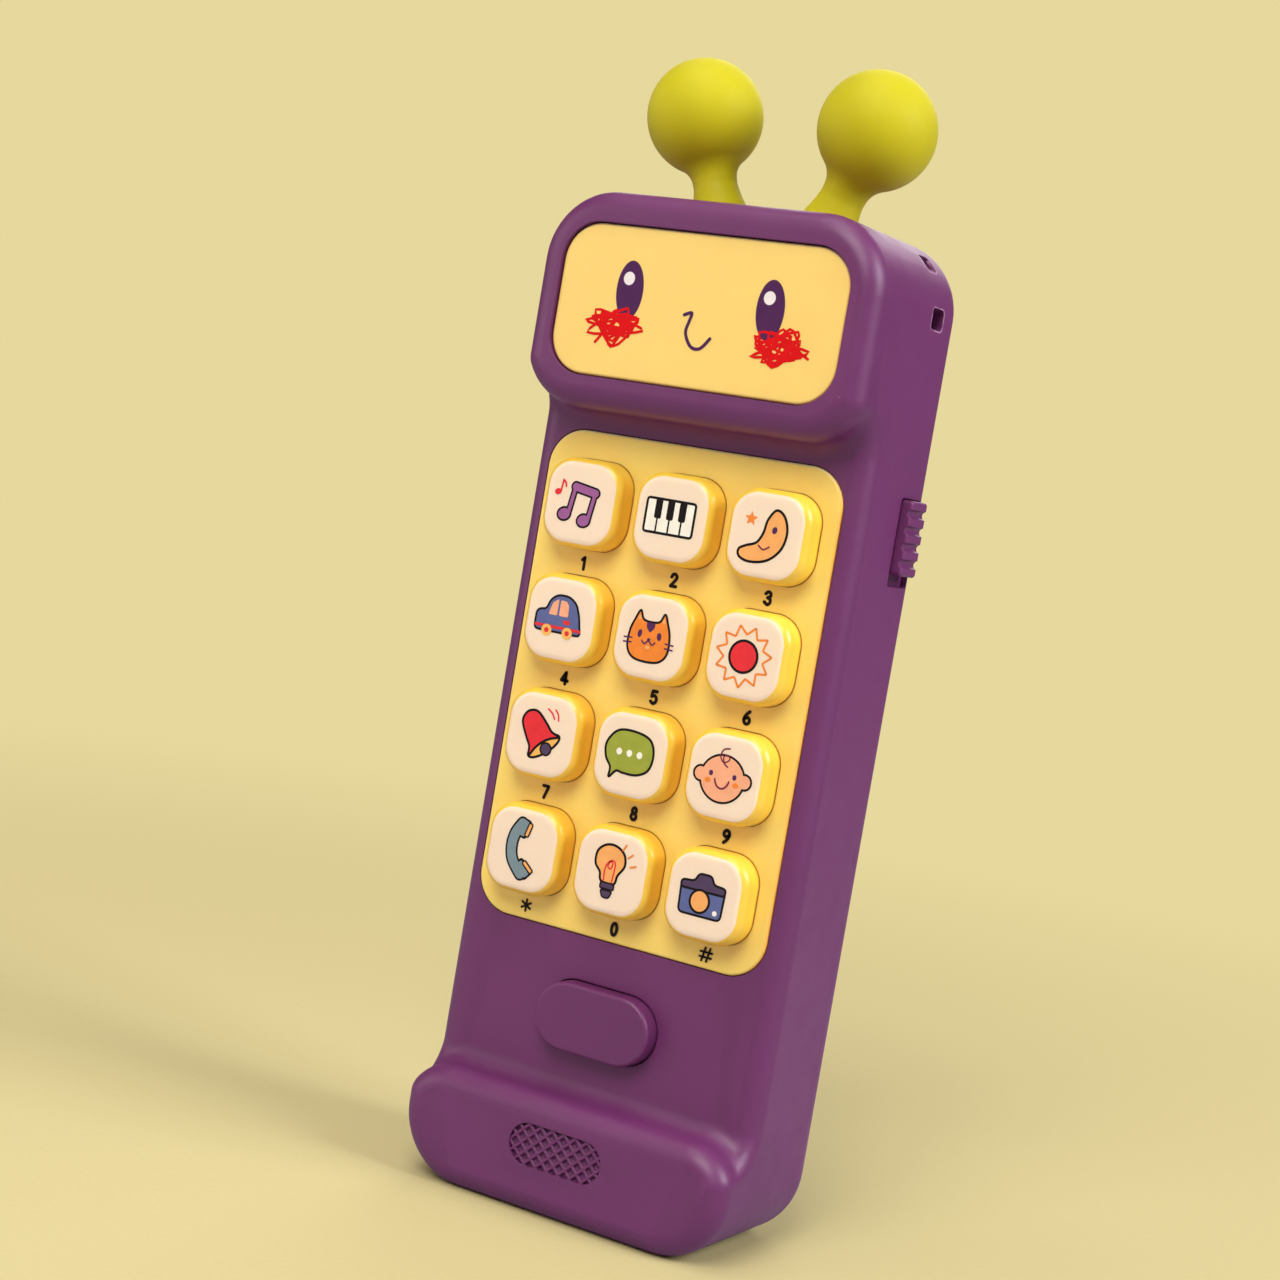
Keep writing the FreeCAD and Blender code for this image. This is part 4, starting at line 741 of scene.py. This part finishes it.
def handset(art):
    spine = curve([(-0.3, 3.9), (-1.3, 2.2), (-1.6, 0.2), (-1.1, -1.8), (0.6, -3.7)], False)
    cups = (((0.5, 3.3), 74), ((1.5, -2.9), 140))
    for colour, extra in (("black", 0.6), ("teal_grey", 0.0)):
        art.line(spine, colour, 1.6 + extra)
        for (x, y), lean in cups:
            shape = rounded(box_points(0, 0, 2.5 + extra, 1.5 + extra), 0.55)
            art.fill(turned_about(shape, lean, x - 0.5, y), colour)
    for (x, y), lean in cups:
        art.drawn(turned_about(rounded(box_points(0, -0.6, 2.2, 0.7), 0.3), lean, x - 0.1, y),
                  "apricot", 0.24)


def light_bulb(art):
    glass = curve([(-1.2, -1.6), (-1.7, -0.2), (-2.7, 1.0), (-2.6, 3.0), (-1.2, 4.2), (0.6, 4.3),
                   (2.2, 3.3), (2.6, 1.5), (1.6, -0.2), (1.1, -1.7)])
    art.drawn(glass, "apricot")
    art.line(curve([(-0.8, -1.6), (-0.8, 0.6), (-0.2, 1.7), (0.4, 1.5), (0.2, 0.6), (-0.4, 0.9),
                    (0.1, 1.9), (0.9, 1.4), (0.7, -1.6)], False), "red", 0.26)
    art.drawn(rounded(box_points(0, -2.2, 2.5, 1.0), 0.3), "shadow", 0.26)
    art.drawn(rounded([(-1.1, -2.9), (1.1, -2.9), (0.6, -4.1), (-0.6, -4.1)], 0.4), "shadow", 0.26)
    for lean, start in ((62, 5.2), (40, 5.1), (18, 5.0)):
        c, s = math.cos(math.radians(lean)), math.sin(math.radians(lean))
        a, b = start - 0.2, start - 1.2
        art.line([(a * c, 0.4 + a * s), (b * c, 0.4 + b * s)], "orange", 0.3)


def camera_picture(art):
    art.drawn(rounded([(-4.1, -3.4), (4.1, -3.4), (4.3, 2.0), (-4.3, 2.0)], 0.9), "slate")
    art.drawn(rounded([(-4.3, 0.9), (4.3, 0.9), (4.3, 2.2), (2.0, 2.4), (1.3, 3.8), (-1.1, 3.8),
                       (-1.8, 2.4), (-4.3, 2.2)], 0.6), "shadow")
    art.drawn(oval(-0.3, -0.9, 1.85, 1.95), "apricot", 0.42)
    art.fill(oval(2.9, -2.3, 0.45), "white")


# The picture on each of KEYS, and its size.
PICTURES = ((music_notes, 0.94), (piano_keys, 0.94), (moon, 0.97), (car, 0.90), (cat, 0.88),
            (sun, 0.97), (bell, 0.95), (speech_bubble, 0.93), (baby, 0.93), (handset, 1.0),
            (light_bulb, 0.95), (camera_picture, 0.86))


PICTURE_SHIFT = -0.2 * MM               # the pictures sit a touch left of the middle


def print_keys():
    for name, (picture, scale) in zip(KEYS, PICTURES):
        spot = middle(name)
        art = Print(name + "_print", spot.x + PICTURE_SHIFT, KEY_FRONT, spot.z, name + "_cap",
                    "yellow_key", scale)
        picture(art)
        art.finish()


# ------------------------------------------------------------ labels and face
DIGIT_PEN, SIGN_PEN = 0.52, 0.34        # pen widths of the digits, and of star and hash
LABEL_DROP = 9.0                        # from a key's middle down to its label, in millimetres
SIX = [(0.32, 0.94), (-0.12, 0.5), (-0.44, -0.1), (-0.42, -0.6), (-0.05, -0.92), (0.38, -0.72),
       (0.44, -0.25), (0.12, 0.04), (-0.38, -0.16)]
DIGITS = {
    "1": [rounded([(-0.36, 0.5), (0.06, 0.92), (0.06, -0.92)], 0.08, False)],
    "2": [curve([(-0.44, 0.45), (-0.24, 0.85), (0.16, 0.9), (0.44, 0.56), (0.3, 0.08),
                 (-0.44, -0.9)], False), [(-0.44, -0.9), (0.48, -0.9)]],
    "3": [curve([(-0.42, 0.62), (-0.08, 0.92), (0.34, 0.8), (0.4, 0.36), (-0.04, 0.06)], False),
          curve([(-0.04, 0.06), (0.4, -0.1), (0.44, -0.62), (0.04, -0.93), (-0.46, -0.62)], False)],
    "4": [rounded([(0.2, -0.92), (0.2, 0.9), (-0.54, -0.42), (0.58, -0.42)], 0.06, False)],
    "5": [rounded([(0.42, 0.92), (-0.3, 0.92), (-0.38, 0.1)], 0.06, False),
          curve([(-0.38, 0.1), (0.1, 0.26), (0.46, -0.1), (0.42, -0.6), (0.0, -0.93),
                 (-0.46, -0.66)], False)],
    "6": [curve(SIX, False)],
    "7": [rounded([(-0.46, 0.9), (0.48, 0.9), (-0.12, -0.92)], 0.06, False)],
    "8": [oval(0, 0.46, 0.34, 0.42), oval(0, -0.45, 0.43, 0.46)],
    "9": [curve(turned_about(SIX, 180), False)],
    "star": [turned_about([(-0.9, 0), (0.9, 0)], lean) for lean in (30, 90, 150)],
    "0": [oval(0, 0, 0.44, 0.9)],
    "hash": [[(-0.62, -1.0), (-0.22, 1.0)], [(0.2, -1.0), (0.6, 1.0)],
             [(-0.95, 0.36), (1.0, 0.36)], [(-1.0, -0.4), (0.95, -0.4)]],
}


def print_labels():
    art = Print("keypad_labels", 0, PLATE_FRONT, 0, ROOT, "yellow_panel")
    for name in KEYS:
        spot = middle(name) / MM
        label = name.split("_")[1]
        pen = SIGN_PEN if label in ("star", "hash") else DIGIT_PEN
        for stroke in DIGITS[label]:
            ring = label in ("8", "0")
            path = [(spot.x + x, spot.z - LABEL_DROP + z) for x, z in stroke]
            art.line(path, "black", pen, closed=ring)
    art.finish()


BLUSH_TURNS, BLUSH_STEP = 34, 2.4       # points of the scribble, and radians from one to the next
BLUSH_WIDTH, BLUSH_HEIGHT = 5.2, 3.3    # half sizes of the patch, in millimetres
BLUSH_PEN = 0.41


def blush(art, x, z, seed):
    """Scribbled cheek: one pen line that keeps crossing an oval patch."""
    dice = random.Random(seed)
    points = []
    for index in range(BLUSH_TURNS):
        angle = BLUSH_STEP * index + dice.uniform(-0.5, 0.5)
        reach = dice.uniform(0.3, 1.0)
        points.append((x + BLUSH_WIDTH * reach * math.cos(angle),
                       z + BLUSH_HEIGHT * reach * math.sin(angle)))
    art.line(curve(points, False, 5), "blush_red", BLUSH_PEN, climb=0.05 * MM)


def print_face():
    """Plain face, drawn about the panel's middle: oval eyes, scribbled cheeks, one stroke."""
    art = Print("face_print", 0, PANEL_FRONT, middle("face_panel").z, ROOT, "yellow_panel")
    blush(art, -13.6, -3.6, seed=3)
    blush(art, 14.4, -3.9, seed=8)
    for x, z in ((-11.8, 1.9), (12.0, 1.5)):
        art.fill(oval(x, z, 2.3, 4.4, 2), "face_plum")
        art.fill(oval(x - 0.4, z + 1.7, 0.95, 1.0), "pearl")
    art.line(curve([(-1.9, -0.7), (-0.7, -0.3), (-0.9, -1.5), (-1.2, -3.3), (0.0, -5.2),
                    (1.6, -5.3), (3.0, -3.7)], False), "face_plum", 0.5)
    art.finish()


# ------------------------------------------------------------ moulded pieces
def add_piece(name, verts, faces, material, body):
    """Smooth piece from points and faces; without a body it is left unattached."""
    data = bpy.data.meshes.new(name)
    data.from_pydata(verts, [], faces)
    for polygon in data.polygons:
        polygon.use_smooth = True
    data.materials.append(material)
    piece = bpy.data.objects.new(name, data)
    bpy.context.scene.collection.objects.link(piece)
    if body:
        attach(piece, body)
    return piece


def turned_mesh(profile, place, turns=96):
    """Solid of revolution about local Z; the profile runs from axis to axis."""
    verts, faces, rings = [], [], []
    for radius, height in profile:
        if radius == 0:
            rings.append([len(verts)])
            verts.append(place @ Vector((0, 0, height * MM)))
            continue
        rings.append(list(range(len(verts), len(verts) + turns)))
        for index in range(turns):
            angle = 2 * math.pi * index / turns
            verts.append(place @ Vector((radius * math.cos(angle) * MM,
                                         radius * math.sin(angle) * MM, height * MM)))
    for low, high in zip(rings, rings[1:]):
        for index in range(turns):
            nxt = (index + 1) % turns
            if len(low) == 1:
                faces.append((low[0], high[nxt], high[index]))
            elif len(high) == 1:
                faces.append((low[index], low[nxt], high[0]))
            else:
                faces.append((low[index], low[nxt], high[nxt], high[index]))
    return verts, faces


NECK, FLARE, FILLET = 3.45, 4.4, 3.6    # neck radius, base radius, fillet into the ball
BALL, REACH = 9.05, 17.1                # ball radius and its distance from the pivot
ANTENNA_TILT = math.radians(20.2)


def antenna_profile():
    """Foot under the wall, flared neck and ball, joined by a tangent fillet."""
    centre_r = NECK + FILLET
    centre_h = REACH - math.sqrt((BALL + FILLET) ** 2 - centre_r ** 2)
    meet = math.atan2(REACH - centre_h, -centre_r)
    points = [(0, -6.5)]
    points += rounded([(0.4, -6.5), (5.3, -6.5), (5.3, -4.9), (3.6, -4.9), (3.6, -1.4),
                       (FLARE, -1.2), (FLARE, 0.6)], 0.4, False)
    points += curve([(FLARE, 0.6), (4.3, 2.0), (3.85, 3.6), (NECK, 5.6), (NECK, centre_h)], False)
    for step in range(1, 9):
        angle = math.pi + (meet - math.pi) * step / 8
        points.append((centre_r + FILLET * math.cos(angle), centre_h + FILLET * math.sin(angle)))
    low = meet - math.pi
    for step in range(1, 48):
        angle = low + (math.pi / 2 - low) * step / 48
        points.append((BALL * math.cos(angle), REACH + BALL * math.sin(angle)))
    points.append((0, REACH + BALL))
    return points


def antennae():
    for name, side in (("antenna_left", -1), ("antenna_right", 1)):
        pivot = Vector(JOINTS[name + "_bend"]["pos_m"])
        place = Matrix.Translation(pivot) @ Matrix.Rotation(side * ANTENNA_TILT, 4, "Y")
        verts, faces = turned_mesh(antenna_profile(), place)
        piece = add_piece(name + "_rubber", verts, faces, MATERIALS["lime"], None)
        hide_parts(name)
        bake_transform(piece)


BADGE_MIDDLE_Z = 10.5 * MM
BADGE_HALF_LENGTH, BADGE_HALF_HEIGHT = 8.1 * MM, 3.25 * MM
BADGE_SINK = 0.8 * MM
LATTICE_FLOOR, RIB_SHARE = 0.97, 0.74   # floor's depth and ribs' height, as shares of the sink
RIB_PITCH, RIB_TOP, RIB_ROOT = 1.45 * MM, 0.17 * MM, 0.36 * MM


def rib_height(x, z):
    """1 on top of a diagonal rib, 0 on the floor between ribs."""
    near = RIB_PITCH
    for along in ((x + z) / math.sqrt(2), (x - z) / math.sqrt(2)):
        near = min(near, abs((along + RIB_PITCH / 2) % RIB_PITCH - RIB_PITCH / 2))
    t = min(max((RIB_ROOT - near) / (RIB_ROOT - RIB_TOP), 0.0), 1.0)
    return t * t * (3 - 2 * t)


def badge():
    """Diamond lattice moulded in the stadium-shaped recess of the lip."""
    columns, rows = 200, 72
    verts, faces = [], []
    straight = BADGE_HALF_LENGTH - BADGE_HALF_HEIGHT
    for column in range(columns + 1):
        x = BADGE_HALF_LENGTH * math.sin(math.pi * (column / columns - 0.5)) * 0.999
        over = max(abs(x) - straight, 0.0)
        tall = math.sqrt(max(BADGE_HALF_HEIGHT ** 2 - over ** 2, 0.0))
        for row in range(rows + 1):
            z = tall * (2 * row / rows - 1)
            proud = RIB_SHARE * BADGE_SINK * rib_height(x, z)
            verts.append((x, LIP_FRONT + LATTICE_FLOOR * BADGE_SINK - proud, BADGE_MIDDLE_Z + z))
    for column in range(columns):
        for row in range(rows):
            a = column * (rows + 1) + row
            faces.append((a, a + rows + 1, a + rows + 2, a + 1))
    add_piece("badge_lattice", verts, faces, MATERIALS["casing"], ROOT)


SHEET_THICK, DOME_RISE = 1.0, 1.4       # millimetres


def rubber_sheet(low, high, front):
    """Thin rubber sheet between the board and the keys."""
    sheet = bmesh.new()
    bmesh.ops.create_grid(sheet, x_segments=48, y_segments=72, size=0.5)
    for vert in sheet.verts:
        x, z = vert.co.x, vert.co.y
        vert.co = Vector((low.x + (x + 0.5) * (high.x - low.x), front,
                          low.z + (z + 0.5) * (high.z - low.z)))
    data = bpy.data.meshes.new("rubber_sheet")
    sheet.to_mesh(data)
    sheet.free()
    data.materials.append(MATERIALS["mat"])
    piece = bpy.data.objects.new("rubber_sheet", data)
    bpy.context.scene.collection.objects.link(piece)
    solid = piece.modifiers.new("thickness", "SOLIDIFY")
    solid.thickness = high.y - front
    solid.offset = -1.0
    round_off = piece.modifiers.new("soft_edge", "BEVEL")
    round_off.width = 0.3 * MM
    round_off.segments = 3
    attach(piece, ROOT)
    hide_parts("key_mat")


def rubber_mat():
    """Conductive rubber: a thin sheet with a dome under each key."""
    low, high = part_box("key_mat")
    front = high.y - SHEET_THICK * MM
    rubber_sheet(low, high, front)
    slope = rounded([(2.5, 0.0), (4.0, 0.0), (2.9, DOME_RISE), (0.4, DOME_RISE)], 0.25, False)
    profile = [(0, 0.0), (4.2, 0.0)] + slope[1:] + [(0, DOME_RISE)]
    for name in KEYS + ("call",):
        centre = middle("call_dome" if name == "call" else name)
        anchor = (centre.x, front, centre.z)
        place = Matrix.Translation(anchor) @ Matrix.Rotation(math.pi / 2, 4, "X")
        verts, faces = turned_mesh(profile, place, 48)
        dome = add_piece(name + "_rubber_dome", verts, faces, MATERIALS["mat"], ROOT)
        if name == "call":
            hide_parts("call_dome")
        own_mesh(dome)


# ------------------------------------------------------------ stage, light, camera
PAPER = srgb(231, 216, 157)
PAPER_BOUNCE = srgb(176, 168, 172)      # the paper as the phone sees it


# The paper's shape, in metres: flat floor, then a quarter round up into a wall.
FLOOR_RADIUS, SWEEP_RADIUS, WALL_TOP = 1.2, 0.8, 2.6


def stage_paper():
    """Paper that lights the phone neutrally and fades to its own plain colour far away."""
    s = Shader("stage_paper")
    grain = s.spread(s.noise(900.0), 0.3, 0.7)
    seen = s.tree.nodes.new("ShaderNodeLightPath").outputs["Is Camera Ray"]
    s.set("Base Color", s.mix(seen, PAPER_BOUNCE, s.mix(grain, shade(PAPER, 0.72),
                                                       shade(PAPER, 0.74))))
    s.set("Roughness", 0.95)
    s.set("Specular IOR Level", 0.1)
    glow = s.tree.nodes.new("ShaderNodeEmission")
    glow.inputs["Color"].default_value = PAPER
    far = s.tree.nodes.new("ShaderNodeVectorMath")
    far.operation = "LENGTH"
    s.link(s.place, far.inputs[0])
    fade = s.math("MULTIPLY", s.spread(far.outputs["Value"], 0.12, 0.5, smooth=True), seen)
    both = s.tree.nodes.new("ShaderNodeMixShader")
    s.feed(both.inputs[0], fade)
    s.link(s.surface.outputs[0], both.inputs[1])
    s.link(glow.outputs[0], both.inputs[2])
    s.link(both.outputs[0], s.out.inputs[0])
    return s.material


def plain_stage():
    """Pale paper floor that rises into a round wall, so that no edge shows behind the phone."""
    outline = [(0.0, 0.0), (0.05, 0.0), (0.3, 0.0), (FLOOR_RADIUS, 0.0)]
    for angle in range(10, 91, 10):
        out, up = math.sin(math.radians(angle)), 1 - math.cos(math.radians(angle))
        outline.append((FLOOR_RADIUS + SWEEP_RADIUS * out, SWEEP_RADIUS * up))
    outline.append((FLOOR_RADIUS + SWEEP_RADIUS, WALL_TOP))
    profile = [(radius / MM, height / MM) for radius, height in outline]
    verts, faces = turned_mesh(profile, Matrix.Identity(4))
    paper = bpy.data.meshes.new("floor")
    paper.from_pydata(verts, [], faces)
    for polygon in paper.polygons:
        polygon.use_smooth = True
    paper.materials.append(stage_paper())
    floor = bpy.data.objects.new("floor", paper)
    bpy.context.scene.collection.objects.link(floor)


def area_light(name, place, width, power, tint):
    """Round soft light aimed at the middle of the phone."""
    light = bpy.data.lights.new(name, "AREA")
    light.shape = "DISK"
    light.size = width
    light.energy = power
    light.color = tint
    lamp = bpy.data.objects.new(name, light)
    lamp.location = place
    aim = Vector((0, 0, 0.09)) - Vector(place)
    lamp.rotation_euler = aim.to_track_quat("-Z", "Y").to_euler()
    bpy.context.scene.collection.objects.link(lamp)


def studio_light():
    """Softboxes in front, on the right (a cooler one) and overhead, with fills left and behind."""
    area_light("front_box", (0.15, -0.78, 0.88), 0.7, 9.4, (1.0, 0.98, 0.93))
    area_light("right_box", (1.0, 0.04, 0.70), 0.6, 11.3, (0.94, 0.96, 1.0))
    area_light("left_fill", (-0.9, -0.65, 0.30), 0.9, 3.4, (1.0, 0.96, 0.90))
    area_light("top_box", (-0.1, -0.15, 0.95), 0.5, 2.2, (1.0, 0.98, 0.98))
    area_light("rear_fill", (-0.3, 0.95, 0.70), 0.8, 4.0, (1.0, 0.98, 0.95))
    world = bpy.data.worlds.new("studio")
    world.use_nodes = True
    sky = world.node_tree.nodes["Background"]
    sky.inputs["Color"].default_value = srgb(236, 232, 232)
    sky.inputs["Strength"].default_value = 0.18
    bpy.context.scene.world = world
    bpy.context.scene.view_settings.view_transform = "Standard"


def photo_camera():
    """Camera to the right of the phone, slightly above, rolled to the left."""
    azimuth, elevation, roll = math.radians(29.38), math.radians(3.54), math.radians(9.66)
    distance = 365.6 * MM
    aim = Vector((-4.2 * MM, SHELL_LOW.y + 7.8 * MM, 88.1 * MM))
    away = Vector((math.sin(azimuth) * math.cos(elevation),
                   -math.cos(azimuth) * math.cos(elevation), math.sin(elevation)))
    camera = bpy.data.cameras.new("photo_camera")
    camera.lens = 68.06
    camera.sensor_width = 36.0
    camera.clip_start = 0.01
    holder = bpy.data.objects.new("photo_camera", camera)
    holder.location = aim + away * distance
    level = (-away).to_track_quat("-Z", "Y")
    holder.rotation_euler = (level @ Matrix.Rotation(roll, 4, "Z").to_quaternion()).to_euler()
    bpy.context.scene.collection.objects.link(holder)
    bpy.context.scene.camera = holder


finish_nodes()
print_keys()
print_labels()
print_face()
antennae()
badge()
rubber_mat()
plain_stage()
studio_light()
photo_camera()
